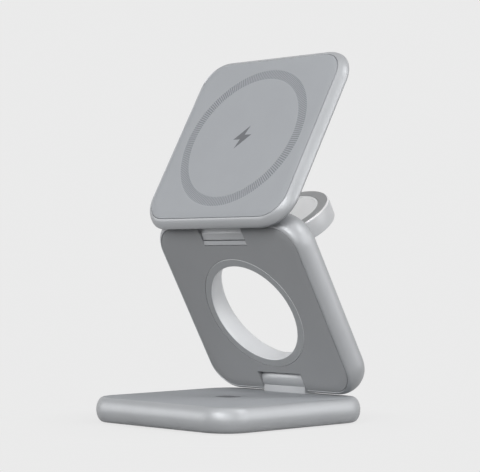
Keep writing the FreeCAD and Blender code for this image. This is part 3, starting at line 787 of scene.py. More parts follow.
class Finishes(Enum):
    """Each finish of the stand."""

    SHELL = Finish("blasted_shell", (0.33, 0.34, 0.354), 0.43, metal=0.3, grain=9.0, relief=4.0, gloss=1.0)
    PLATE = Finish("soft_plate", (0.335, 0.348, 0.367), 0.72, grain=7.0, relief=7.0, drift=0.015, gloss=0.25)
    # Painted shade: the soft plate's finish made darker for both plates of the middle panel
    SHADED_PLATE = Finish("soft_plate_painted_shade", (0.287, 0.294, 0.304), 0.72, relief=7.0, drift=0.015, gloss=0.25)
    BEZEL = Finish("soft_bezel", (0.31, 0.32, 0.33), 0.66, relief=6.0, drift=0.015, gloss=0.3)
    # Painted shade: the ring's grooves are coloured darker by how deep they lie
    BAND = GrooveShadedFinish("ribbed_band_groove_shade", (0.34, 0.355, 0.375), 0.66, gloss=0.25, groove=(0.18, 0.19, 0.205))
    WELL = Finish("satin_well", (0.61, 0.62, 0.635), 0.45, metal=0.1, grain=9.0, relief=5.0, drift=0.02)
    HINGE = Finish("satin_hinge", (0.39, 0.40, 0.414), 0.33, metal=0.2, grain=8.0, relief=4.0, gloss=0.7)
    INK = Finish("mark_ink", (0.115, 0.12, 0.13), rough=0.5, grain=9.0, relief=4.0)
    DISC = Finish("moulded_disc", (0.96, 0.965, 0.97), 0.45, metal=0.55, grain=9.0, relief=0.5, drift=0.005)
    PUCK_SIDE = Finish("satin_puck", (0.50, 0.51, 0.525), 0.33, metal=0.1, grain=9.0, relief=4.0, gloss=0.9)
    PUCK_FACE = Finish("puck_face", (0.54, 0.545, 0.55), 0.55, grain=8.0, relief=4.0, gloss=0.3)
    CUT_RIM = Finish("cut_rim", (0.88, 0.88, 0.89), 0.2, metal=0.9, grain=8.0, relief=1.0, drift=0.01)
    COVER = Finish("puck_cover", (0.30, 0.31, 0.33), rough=0.6, grain=7.0, relief=6.0)
    PAD = Finish("pad_rubber", (0.035, 0.035, 0.037), rough=0.75, grain=4.0, relief=20.0, drift=0.1)
    STEEL = BrushedFinish("machined_steel", (0.52, 0.52, 0.53), rough=0.33, metal=1.0, grain=7.0, relief=6.0)
    CHIP = Finish("chip_black", (0.02, 0.02, 0.022), rough=0.5, grain=6.0, relief=5.0, drift=0.1)
    MASK = BandedFinish(
        "solder_mask", (0.012, 0.10, 0.045), 0.3, coat=0.4, second=(0.02, 0.16, 0.07), pitch=1.1
    )
    COPPER = BandedFinish(
        "wound_copper", (0.62, 0.27, 0.12), 0.3, metal=0.9, second=(0.22, 0.08, 0.03), pitch=0.4
    )
    FERRITE = Finish("sintered_ferrite", (0.05, 0.05, 0.055), rough=0.7, grain=5.0, relief=15.0, drift=0.1)
    FILM = BandedFinish("flex_film", (0.45, 0.20, 0.03), 0.25, coat=0.3, second=(0.55, 0.30, 0.08), pitch=0.8)


def dress(
    piece: bpy.types.Object, finish: Finishes, body: Body, nodes: tuple[str, ...]
) -> bpy.types.Object:
    """Finish a new piece, make it ride on its body and stand for its solids.

    Args:
        piece: the new object.
        finish: its finish.
        body: the body that it rides on.
        nodes: the solids that it stands for.

    Returns:
        The same object.
    """
    smooth(piece)
    piece.data.materials.clear()
    piece.data.materials.append(finish.value.material())
    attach(piece, body.value)
    if nodes:
        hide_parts(*nodes)
    LOG.info("%s: %d faces on %s", piece.name, len(piece.data.polygons), body.value)
    return piece


def paint(
    piece: bpy.types.Object,
    finish: Finishes,
    placing: Placing,
    level: tuple[float, float],
    lean: tuple[float, float],
) -> None:
    """Give another finish to the faces between two heights that look out by a share between two numbers.

    Args:
        piece: the piece.
        finish: the finish of those faces.
        placing: the body's frame.
        level: lowest and highest place of a face's centre along the frame's Z.
        lean: least and greatest share of the face's direction along the frame's Z.
    """
    mesh = piece.data
    count = len(mesh.polygons)
    normals, centres = np.empty(count * 3), np.empty(count * 3)
    mesh.polygons.foreach_get("normal", normals)
    mesh.polygons.foreach_get("center", centres)
    indices = np.empty(count, np.int32)
    mesh.polygons.foreach_get("material_index", indices)
    out = placing.axes()[2]
    height = (centres.reshape(-1, 3) / MM - placing.origin) @ out
    share = normals.reshape(-1, 3) @ out
    chosen = (height > level[0]) & (height < level[1]) & (share > lean[0]) & (share < lean[1])
    indices[chosen] = len(mesh.materials)
    mesh.materials.append(finish.value.material())
    mesh.polygons.foreach_set("material_index", indices)
    mesh.update()


def panel_path(length: float) -> np.ndarray:
    """The outer path of a panel."""
    return rounded_path(SIZES.width / 2, length / 2, SIZES.corner, corner_steps=20, side_steps=6)


@dataclass
class BulgedEdge:
    """The section of a panel's edge, from the lower plate's border over the widest point to the upper one's.

    Each half is a superellipse: the inset is the bulge times one less cosine to a power, the height is sine
    to the same power, and the power is two over the half's fullness.

    Args:
        low: height of the lower border.
        high: height of the upper border.
        widest: height of the widest point.
        low_full: fullness of the lower half, 2 for an ellipse and 1 for a straight bevel.
        high_full: fullness of the upper half.
        low_lip: whether the lower border falls into a groove round a plate.
        steps: spans in each half.
    """

    low: float
    high: float
    widest: float
    low_full: float = 1.9
    high_full: float = 1.9
    low_lip: bool = False
    steps: int = 20

    def half(self, border: float, full: float, lip: bool) -> list[list[float]]:
        """Rows of inset and height from the widest point to one border.

        Args:
            border: the border's height.
            full: fullness of this half.
            lip: whether it falls into a groove round the plate.

        Returns:
            The rows.
        """
        swept = np.linspace(0, math.pi / 2, self.steps + 1)
        inset = SIZES.bulge * (1 - np.cos(swept) ** (2 / full))
        height = self.widest + (border - self.widest) * np.sin(swept) ** (2 / full)
        rows = np.stack([inset, height], axis=-1)
        if lip:
            rows = rows[inset < SIZES.bulge - SIZES.lip_wide]
            fall = SIZES.lip_deep * np.sign(border - self.widest)
            return rows.tolist() + [[SIZES.bulge, border - fall]]
        return rows.tolist()

    def rows(self) -> list[list[float]]:
        """All rows, from the lower border to the upper one."""
        lower = self.half(self.low, self.low_full, self.low_lip)[::-1]
        return lower[:-1] + self.half(self.high, self.high_full, True)


@dataclass
class InsetPlate:
    """A flat plate set flush in a panel, with a fine bevel round its face.

    Args:
        name: the piece's name.
        body: the body that it rides on.
        length: the panel's length.
        low: height of its underside.
        high: height of its upper side.
        up: whether its face is on the high side.
        bevel: size of the bevel.
        border: width of the strip inside the bevel, past which one face closes each side.
    """

    name: str
    body: Body
    length: float
    low: float
    high: float
    up: bool = True
    bevel: float = 0.2
    border: float = 3.0

    def build(self) -> bpy.types.Object:
        """Carry the plate's section round its border and close both sides flat.

        Returns:
            The plate, not dressed yet.
        """
        inset = SIZES.bulge + SIZES.seat_gap
        face, rear = (self.high, self.low) if self.up else (self.low, self.high)
        sign = 1 if self.up else -1
        rows = [(inset + self.border, rear), (inset, rear), (inset, face - sign * self.bevel)]
        soft = self.bevel * BEVEL_ROUND
        rows += [(inset + soft, face - sign * soft), (inset + self.bevel, face), (inset + self.border, face)]
        form = swept_form(np.array(rows), panel_path(self.length), SIZES.corner, closed=False)
        return form.build(self.name, FRAMES[self.body])


@dataclass
class BasePart:
    """The base: its shell with the inlet's slot, and the plate on it.

    Args:
        leg_top: height of the block that carries the hinge's stem.
        leg_side: how far the block reaches past the knuckle on each side.
        leg_sink: how far it sinks into the floor of the shell.
        leg_overlap: how far it sinks into the rear wall.
        floor: height of the shell's floor inside.
        pad_margin: how far the foot pad stays inside the plate's border.
        pad_thick: thickness of the pad.
        port_z: height of the inlet's middle.
        port_half: half of the inlet's width.
        port_radius: half of its height.
        port_gap: clearance round it.
        port_deep: how far its slot reaches in from the hinge axis.
        port_steps: points round each end of it.
    """

    leg_top: float = 6.0
    leg_side: float = 0.6
    leg_sink: float = 0.2
    leg_overlap: float = 0.5
    floor: float = 1.8
    pad_margin: float = 5.0
    pad_thick: float = 1.0
    port_z: float = 3.6
    port_half: float = 4.47
    port_radius: float = 1.6
    port_gap: float = 0.15
    port_deep: float = 6.0
    port_steps: int = 17

    def axis_y(self) -> float:
        """Where the lower hinge's axis is, front to back."""
        return SIZES.base_depth / 2 - SIZES.axis_inset

    def shell(self) -> bpy.types.Object:
        """A tray carried round the base: pad seat, underside, bulged edge, plate seat, wall and floor.

        Returns:
            The shell.
        """
        low, high = SIZES.pad_proud, SIZES.base_top
        pad_edge = SIZES.bulge + self.pad_margin
        seat = high - SIZES.plate
        wall = SIZES.bulge + SIZES.ledge
        rows = [(pad_edge, self.pad_thick), (pad_edge, low)]
        rows += BulgedEdge(low, high, (low + high) / 2).rows()
        rows += [(SIZES.bulge, seat), (wall, seat), (wall, self.floor)]
        form = swept_form(np.array(rows), panel_path(SIZES.base_depth), SIZES.corner, closed=False)
        shell = form.build("base_shell_form", FRAMES[Body.BASE])
        side = SIZES.knuckle_half + self.leg_side
        legs = block_form(
            (-side, self.axis_y() - SIZES.stem_inner, self.floor - self.leg_sink),
            (side, SIZES.base_depth / 2 - wall + self.leg_overlap, self.leg_top),
        )
        carve(shell, legs.build("legs", FRAMES[Body.BASE]), Carve.JOIN)
        stem = self.stem_room(self.leg_top, self.axis_y() + SIZES.stem_outer)
        carve(shell, stem.build("stem_seat", FRAMES[Body.BASE]), Carve.CUT)
        back = SIZES.base_depth / 2 + SIZES.past
        slot = self.oval(self.port_radius + self.port_gap, self.axis_y() - self.port_deep, back)
        carve(shell, slot.build("port_slot", FRAMES[Body.BASE]), Carve.CUT)
        return dress(shell, Finishes.SHELL, Body.BASE, ("base_shell",))

    def stem_room(self, low: float, back: float) -> Form:
        """The room round the hinge's stem, from a height to above the base and back to a place along Y.

        Args:
            low: where it starts, as a height.
            back: where it ends along Y.

        Returns:
            The form.
        """
        gap = SIZES.seat_gap
        half = SIZES.knuckle_half + gap
        front = self.axis_y() - SIZES.stem_inner - gap
        return block_form((-half, front, low), (half, back, SIZES.base_top + SIZES.past))

    def oval(self, radius: float, front: float, back: float) -> Form:
        """A flat oval across the inlet: two half circles joined by straight sides, carried along Y.

        Args:
            radius: half of its height.
            front: where it starts.
            back: where it ends.

        Returns:
            The form.
        """
        swept = np.linspace(-math.pi / 2, math.pi / 2, self.port_steps)
        reach = self.port_half - self.port_radius
        right = np.stack([reach + radius * np.cos(swept), self.port_z + radius * np.sin(swept)], axis=-1)
        return prism_form(np.concatenate([right, right[::-1] * (-1, 1)]), (front, back), 1)

    def plate(self) -> bpy.types.Object:
        """The plate that an earbud case lies on, notched for the hinge's stem.

        Returns:
            The plate.
        """
        plate = InsetPlate(
            "base_plate_form", Body.BASE, SIZES.base_depth, SIZES.base_top - SIZES.plate, SIZES.base_top
        ).build()
        notch = self.stem_room(0.0, SIZES.base_depth)
        carve(plate, notch.build("stem_notch", FRAMES[Body.BASE]), Carve.CUT)
        return dress(plate, Finishes.PLATE, Body.BASE, ("base_top_plate",))

    def build(self) -> None:
        """Build the base's pieces in order."""
        self.shell()
        self.plate()


@dataclass
class MiddlePart:
    """The middle panel: its frame, both plates and the lining of the round opening.

    Args:
        sill_near: distance of the sill's near end from the upper hinge axis.
        sill_far: distance of its far end, where it meets the front plate.
        sill_fall: how far its near end lies below the front plane.
        sill_thick: thickness of the sill.
        block_inset: how far the solid block round a hinge stays inside the plates' border.
        bore_radius: radius of the holes for the hinge pins.
        bore_past: how far these holes pass the block on each side.
        cheek_half: half of the width of the block that holds the puck's hinge.
        pocket_half: half of the width of the pocket in it.
        puck_axis_y: place of the puck's hinge axis along the panel.
        puck_axis_z: its place out of the panel's middle.
        tab_reach: reach of the pocket from that axis.
        pocket_wall: wall round the pocket.
        pin_radius: radius of the hole for the puck's pin.
        pin_wall: how far that hole passes the block on each side.
        rim_soft: size of the rounded rim of the opening.
        rim_flat: how far the rim stays below the front plane.
        rim_paint: depth of the layer of faces that takes the rim's own finish.
        rim_lean: share by which these faces look out to the front at least.
        steps: spans round the opening.
    """

    sill_near: float = 2.95
    sill_far: float = 4.3
    sill_fall: float = 0.4
    sill_thick: float = 1.0
    block_inset: float = 0.5
    bore_radius: float = 1.5
    bore_past: float = 0.01
    cheek_half: float = 11.1
    pocket_half: float = 7.7
    puck_axis_y: float = 19.7
    puck_axis_z: float = -2.4
    tab_reach: float = 2.4
    pocket_wall: float = 1.1
    pin_radius: float = 0.8
    pin_wall: float = 0.5
    rim_soft: float = 0.25
    rim_flat: float = 0.02
    rim_paint: float = 0.1
    rim_lean: float = 0.9
    steps: int = 160

    def notches(self, piece: bpy.types.Object) -> None:
        """Cut both hinge notches through a piece.

        Args:
            piece: the piece.
        """
        for sign in (-1, 1):
            ends = sorted((sign * (SIZES.axis_out - SIZES.notch_depth), sign * SIZES.length))
            low = (-SIZES.notch_half, ends[0], -SIZES.middle_thick)
            high = (SIZES.notch_half, ends[1], SIZES.middle_thick)
            carve(piece, block_form(low, high).build("notch", FRAMES[Body.MIDDLE]), Carve.CUT)

    def sill(self) -> bpy.types.Object:
        """The sloped sill under the upper knuckle, as a slab whose upper face falls from the front plane.

        Returns:
            The slab, not dressed.
        """
        half = SIZES.middle_thick / 2
        far, near = SIZES.axis_out - self.sill_far, SIZES.axis_out - self.sill_near
        low, thick = half - self.sill_fall, self.sill_thick
        outline = np.array([(far, half), (near, low), (near, low - thick), (far, half - thick)])
        form = prism_form(outline, (-SIZES.notch_half, SIZES.notch_half), 0)
        return form.build("sill", FRAMES[Body.MIDDLE])

    def sill_seat(self) -> bpy.types.Object:
        """The room for the sill in the front plate.

        Returns:
            The block that cuts it.
        """
        half, past = SIZES.middle_thick / 2, SIZES.past
        low = (-SIZES.notch_half, SIZES.axis_out - self.sill_far, half - SIZES.plate - past)
        form = block_form(low, (SIZES.notch_half, SIZES.length, half + past))
        return form.build("sill_seat", FRAMES[Body.MIDDLE])

    def frame(self) -> bpy.types.Object:
        """A ring of bulged edge, two plate seats and the inner wall, with a solid block at each hinge.

        Returns:
            The frame.
        """
        half = SIZES.middle_thick / 2
        seat = half - SIZES.plate
        wall = SIZES.bulge + SIZES.ledge
        rows = BulgedEdge(-half, half, 0.0, low_lip=True).rows()
        rows += [(SIZES.bulge, seat), (wall, seat), (wall, -seat), (SIZES.bulge, -seat)]
        ring = swept_form(np.array(rows), panel_path(SIZES.length), SIZES.corner, closed=True)
        piece = ring.build("middle_frame_form", FRAMES[Body.MIDDLE])
        outer = SIZES.length / 2 - SIZES.bulge - self.block_inset
        for sign in (-1, 1):
            ends = sorted((sign * (SIZES.axis_out - SIZES.notch_depth - SIZES.notch_wall), sign * outer))
            block = block_form((-SIZES.block_half, ends[0], -seat), (SIZES.block_half, ends[1], seat))
            carve(piece, block.build("hinge_block", FRAMES[Body.MIDDLE]), Carve.JOIN)
        self.notches(piece)
        carve(piece, self.sill(), Carve.JOIN)
        for sign in (-1, 1):
            reach = SIZES.block_half + self.bore_past
            bore = bar_form(sign * SIZES.axis_out, 0.0, self.bore_radius, reach)
            carve(piece, bore.build("pin_bore", FRAMES[Body.MIDDLE]), Carve.CUT)
        return dress(piece, Finishes.SHELL, Body.MIDDLE, ("middle_frame",))

    def plates(self) -> None:
        """The front and rear plates, each with the round opening and the notches."""
        half = SIZES.middle_thick / 2
        sides = [
            ("middle_front_form", half - SIZES.plate, half, True, SIZES.bezel_radius, "middle_front_plate"),
            ("middle_back_form", -half, SIZES.plate - half, False, SIZES.well_radius, "middle_back_plate"),
        ]
        for name, low, high, up, radius, node in sides:
            plate = InsetPlate(name, Body.MIDDLE, SIZES.length, low, high, up).build()
            gap, past = SIZES.seat_gap, SIZES.past
            around = np.array([(radius + gap, low - past), (radius + gap, high + past)])
            hole = turned_form(around, SIZES.hole_y, self.steps, closed=False)
            carve(plate, hole.build("round_hole", FRAMES[Body.MIDDLE]), Carve.CUT)
            self.notches(plate)
            if up:
                carve(plate, self.sill_seat(), Carve.CUT)
            else:
                side = self.cheek_half + gap
                top = self.puck_axis_y + self.tab_reach + self.pocket_wall + gap
                slot = block_form((-side, SIZES.hole_y, low - past), (side, top, high + past))
                carve(plate, slot.build("cheek_slot", FRAMES[Body.MIDDLE]), Carve.CUT)
            # The middle panel's plates take the darker copy of the soft plate finish, which is painted shade
            dress(plate, Finishes.SHADED_PLATE, Body.MIDDLE, (node,))

    def well(self) -> bpy.types.Object:
        """The lining: a turned ring, wider to the back, with the pocket that holds the puck's hinge.

        Returns:
            The lining.
        """
        half, past = SIZES.middle_thick / 2, SIZES.past
        flare_z = SIZES.flare_depth - half
        soft = self.rim_soft
        rim_z = half - self.rim_flat
        body = np.array(
            [(SIZES.well_radius, -half), (SIZES.well_radius, flare_z), (SIZES.bezel_radius, flare_z)]
            + [(SIZES.bezel_radius, half - soft / 2), (SIZES.bezel_radius - soft / 2, rim_z)]
        )
        ring = turned_form(body, SIZES.hole_y, self.steps, closed=False)
        piece = ring.build("puck_well_form", FRAMES[Body.MIDDLE])
        top, deep = self.puck_axis_y + self.tab_reach, self.puck_axis_z + self.tab_reach
        cheeks = block_form(
            (-self.cheek_half, SIZES.hole_y, -half),
            (self.cheek_half, top + self.pocket_wall, deep + self.pocket_wall),
        )
        carve(piece, cheeks.build("cheeks", FRAMES[Body.MIDDLE]), Carve.JOIN)
        slope = (SIZES.hole_back - SIZES.hole_radius) / (half - flare_z)
        front = SIZES.hole_radius
        # The rim's round: where the wall ends, and how far in and down its middle row lies
        start, inward, down = soft * 1.6, soft * 0.4, soft * 0.5
        opening = np.array(
            [(SIZES.flare_radius + past, -half - past), (SIZES.flare_radius, -half)]
            + [(SIZES.hole_back, flare_z), (front + slope * start, half - start)]
            + [(front + inward, half - down), (front + soft, rim_z), (front + soft + past, half + past)]
        )
        bore = turned_form(opening, SIZES.hole_y, self.steps, closed=False)
        carve(piece, bore.build("opening", FRAMES[Body.MIDDLE]), Carve.CUT)
        pocket = block_form((-self.pocket_half, SIZES.hole_y, -half - past), (self.pocket_half, top, deep))
        carve(piece, pocket.build("pocket", FRAMES[Body.MIDDLE]), Carve.CUT)
        pin = bar_form(self.puck_axis_y, self.puck_axis_z, self.pin_radius, self.cheek_half + self.pin_wall)
        carve(piece, pin.build("pin_hole", FRAMES[Body.MIDDLE]), Carve.CUT)
        dress(piece, Finishes.WELL, Body.MIDDLE, ("puck_well",))
        layer = (half - self.rim_paint, half)
        paint(piece, Finishes.BEZEL, FRAMES[Body.MIDDLE], layer, (self.rim_lean, math.inf))
        return piece

    def build(self) -> None:
        """Build the middle panel's pieces in order."""
        self.frame()
        self.plates()
        self.well()


@dataclass
class TopPart:
    """The top panel: its tray, the face plate, the ribbed ring and the mark in its middle.

    Args:
        floor: thickness of the tray's floor.
        widest: height of the edge's widest point above the panel's middle.
        front_full: fullness of the edge's front half.
        back_border: width of the strip inside the edge at the back, past which one face closes it.
        ring_outer: outer radius of the ring.
        ring_inner: its inner radius.
        ring_sunk: how far its border lies below the plate.
        inlay: depth of the groove that holds it.
        ribs: how many ribs there are round it.
        rib_depth: depth of the grooves between them.
        rib_steps: spans in each rib.
        stem_gap: clearance of the hinge's stem in the tray's floor.
        steps: spans round the ring's groove.
    """

    floor: float = 0.8
    widest: float = -0.6
    front_full: float = 1.5
    back_border: float = 3.0
    ring_outer: float = 28.1
    ring_inner: float = 23.7
    ring_sunk: float = 0.02
    inlay: float = 0.3
    ribs: int = 200
    rib_depth: float = 0.14
    rib_steps: int = 6
    stem_gap: float = 0.02
    steps: int = 180

    def tray(self) -> bpy.types.Object:
        """A section carried round the panel: flat back, bulged edge, plate seat, inner wall and floor.

        Returns:
            The tray.
        """
        half = SIZES.top_thick / 2
        seat = half - SIZES.face
        wall = SIZES.bulge + SIZES.ledge
        rows = [(SIZES.bulge + self.back_border, -half)]
        rows += BulgedEdge(-half, half, self.widest, low_full=2.0, high_full=self.front_full).rows()
        rows += [(SIZES.bulge, seat), (wall, seat), (wall, self.floor - half)]
        form = swept_form(np.array(rows), panel_path(SIZES.length), SIZES.corner, closed=False)
        piece = form.build("top_frame_form", FRAMES[Body.TOP])
        side, gap = SIZES.knuckle_half + self.stem_gap, self.stem_gap
        stem = block_form(
            (-side, -SIZES.axis_out - SIZES.stem_outer - gap, -half - SIZES.past),
            (side, SIZES.stem_inner - SIZES.axis_out + gap, self.floor - half + SIZES.past / 2),
        )
        carve(piece, stem.build("stem_slot", FRAMES[Body.TOP]), Carve.CUT)
        return dress(piece, Finishes.SHELL, Body.TOP, ("top_frame",))

    def face(self) -> bpy.types.Object:
        """The face plate with a shallow round groove for the ring.

        Returns:
            The plate.
        """
        half = SIZES.top_thick / 2
        plate = InsetPlate("top_face_form", Body.TOP, SIZES.length, half - SIZES.face, half).build()
        loop = np.array(
            [(self.ring_inner, half - self.inlay), (self.ring_outer, half - self.inlay)]
            + [(self.ring_outer, half + SIZES.past), (self.ring_inner, half + SIZES.past)]
        )
        groove = turned_form(loop, 0.0, self.steps, closed=True)
        carve(plate, groove.build("ring_groove", FRAMES[Body.TOP]), Carve.CUT)
        return dress(plate, Finishes.PLATE, Body.TOP, ("top_face_plate",))

    def ring(self) -> bpy.types.Object:
        """The ring: its face falls by a cosine of the angle times the number of ribs, flat at both borders.

        Returns:
            The ring.
        """
        half = SIZES.top_thick / 2
        around = np.linspace(0, 2 * math.pi, self.ribs * self.rib_steps, endpoint=False)
        # Rows from the inner border to the outer: place as a share of the width, share of the ribs, and level
        share = np.array([0.0, 0.0, 0.06, 0.12, 0.88, 0.94, 1.0, 1.0])
        relief = np.array([0.0, 0.0, 0.0, 1.0, 1.0, 0.0, 0.0, 0.0])
        level = -np.array([self.inlay] + [self.ring_sunk] * 6 + [self.inlay])
        radius = self.ring_inner + share * (self.ring_outer - self.ring_inner)
        fall = self.rib_depth / 2 * (1 - np.cos(around * self.ribs))
        z = half + level[None, :] - relief[None, :] * fall[:, None]
        x = radius[None, :] * np.sin(around)[:, None]
        y = radius[None, :] * np.cos(around)[:, None]
        form = Form().grid(np.stack([x, y, z], axis=-1), around=True, along=True)
        piece = form.build("charging_ring_form", FRAMES[Body.TOP])
        places = np.empty(len(piece.data.vertices) * 3)
        piece.data.vertices.foreach_get("co", places)
        placing = FRAMES[Body.TOP]
        level = (places.reshape(-1, 3) / MM - placing.origin) @ placing.axes()[2]
        # How deep each point lies in a groove: the ring's finish paints shade into the grooves by it
        depth = np.clip((half - self.ring_sunk - level) / self.rib_depth, 0.0, 1.0)
        groove = piece.data.attributes.new(GROOVE, "FLOAT", "POINT")
        groove.data.foreach_set("value", depth.astype(np.float32))
        return dress(piece, Finishes.BAND, Body.TOP, ("charging_ring_inlay",))

    def build(self) -> None:
        """Build the top panel's pieces in order."""
        self.tray()
        self.face()
        self.ring()
        Mark("charge_mark", Body.TOP, SIZES.top_thick / 2).bolt()


@dataclass
class Mark:
    """A small plain sign printed on a plate, at the middle of its body's frame.

    Args:
        name: the piece's name.
        body: the body that it rides on.
        height: the plate's height in the body's frame.
        thick: thickness of the print.
    """

    name: str
    body: Body
    height: float
    thick: float = 0.02

    def printed(self, outline: np.ndarray) -> bpy.types.Object:
        """The sign with an outline: the same points at two heights.

        Args:
            outline: rows of x and y.

        Returns:
            The sign.
        """
        form = prism_form(outline, (self.height, self.height + self.thick), 2)
        return dress(form.build(self.name, FRAMES[self.body]), Finishes.INK, self.body, ())

    def bolt(self) -> bpy.types.Object:
        """A plain lightning flash, the common sign for charging."""
        points = [(1.9, 4.6), (-4.0, -0.9), (-0.7, -0.9), (-1.9, -4.6), (4.0, 0.9), (0.7, 0.9)]
        return self.printed(np.array(points))

    def case(self) -> bpy.types.Object:
        """A plain earbud case seen from the front: a box with round ends.

        Returns:
            The sign.
        """
        half_x, half_y, radius = 4.2, 3.2, 2.2
        path = rounded_path(half_x, half_y, radius, corner_steps=8, side_steps=2)
        return self.printed(path[:, :2] + radius * path[:, 2:])


@dataclass
class HingeLeaf:
    """A hinge's knuckle and the stem that stands in its panel.

    Args:
        name: the piece's name.
        node: the solid that it stands for.
        body: the body that it rides on.
        placing: a frame on the axis with Y to the panel's middle and Z into the panel.
        radius: the knuckle's radius.
        reach: how far the stem reaches from the axis into the panel.
        bevel: size of the bevel at both ends.
        flush: direction in that frame of a flat on the knuckle, or None where it is round all over.
        flat: how far that flat reaches past the direction, square to it.
        drop: how far down that flat begins.
        round_radius: radius of the round that runs into the flat from above.
        round_turn: how far that round turns, in degrees.
        plain_steps: points round a knuckle without a flat.
        flat_steps: points from the stem to the flat.
        round_steps: points on the round.
    """

    name: str
    node: str
    body: Body
    placing: Placing
    radius: float = 4.2
    flush: np.ndarray | None = None
    flat: float = 2.65
    drop: float = 0.45
    round_radius: float = 1.3
    round_turn: float = 44.0
    plain_steps: int = 56
    flat_steps: int = 44
    round_steps: int = 12
    reach: float = 8.1
    bevel: float = 0.25

    def knuckle(self) -> np.ndarray:
        """Points at the radius round the axis, or with a flat between a square corner and a round.

        Returns:
            Rows of y and z.
        """
        inner, outer = SIZES.stem_inner, SIZES.stem_outer
        start = math.atan2(math.sqrt(self.radius**2 - inner**2), inner)
        shoulder = np.array([-outer, math.sqrt(self.radius**2 - outer**2)])
        if self.flush is None:
            end = math.atan2(shoulder[1], shoulder[0]) - 2 * math.pi
            return self.arc(start, end, self.plain_steps)
        out = self.flush
        past = np.array([-out[1], out[0]])
        edge = math.sqrt(self.radius**2 - self.flat**2)
        corner = [(edge, 0.0), (self.radius - self.bevel, 0.0), (self.radius, -self.bevel)]
        lip = np.array([reach * out + (self.flat + back) * past for reach, back in corner])
        last = math.atan2(out[1], out[0]) - 2 * math.pi
        first = last + math.asin(self.flat / self.radius)
        centre = (self.radius - self.round_radius) * out + self.drop * past
        turned = last - math.radians(self.round_turn)
        upper = centre + self.arc(last, turned, self.round_steps) * self.round_radius / self.radius
        barrel = self.arc(start, first, self.flat_steps)[:-1]
        return np.concatenate([barrel, lip, upper, shoulder[None]])

    def arc(self, first: float, last: float, steps: int) -> np.ndarray:
        """Points on the knuckle between two angles: radius times cosine and sine."""
        swept = np.linspace(first, last, steps)
        return self.radius * np.stack([np.cos(swept), np.sin(swept)], axis=-1)

    def build(self) -> bpy.types.Object:
        """Carry a keyhole outline along X: the knuckle, then the two straight sides of the stem.

        Returns:
            The leaf.
        """
        knuckle = self.knuckle()
        foot = np.array([(-SIZES.stem_outer, self.reach), (SIZES.stem_inner, self.reach)])
        form = extruded_form(np.concatenate([knuckle, foot]), SIZES.knuckle_half, self.bevel)
        piece = form.build(self.name, self.placing)
        return dress(piece, Finishes.HINGE, self.body, (self.node,))


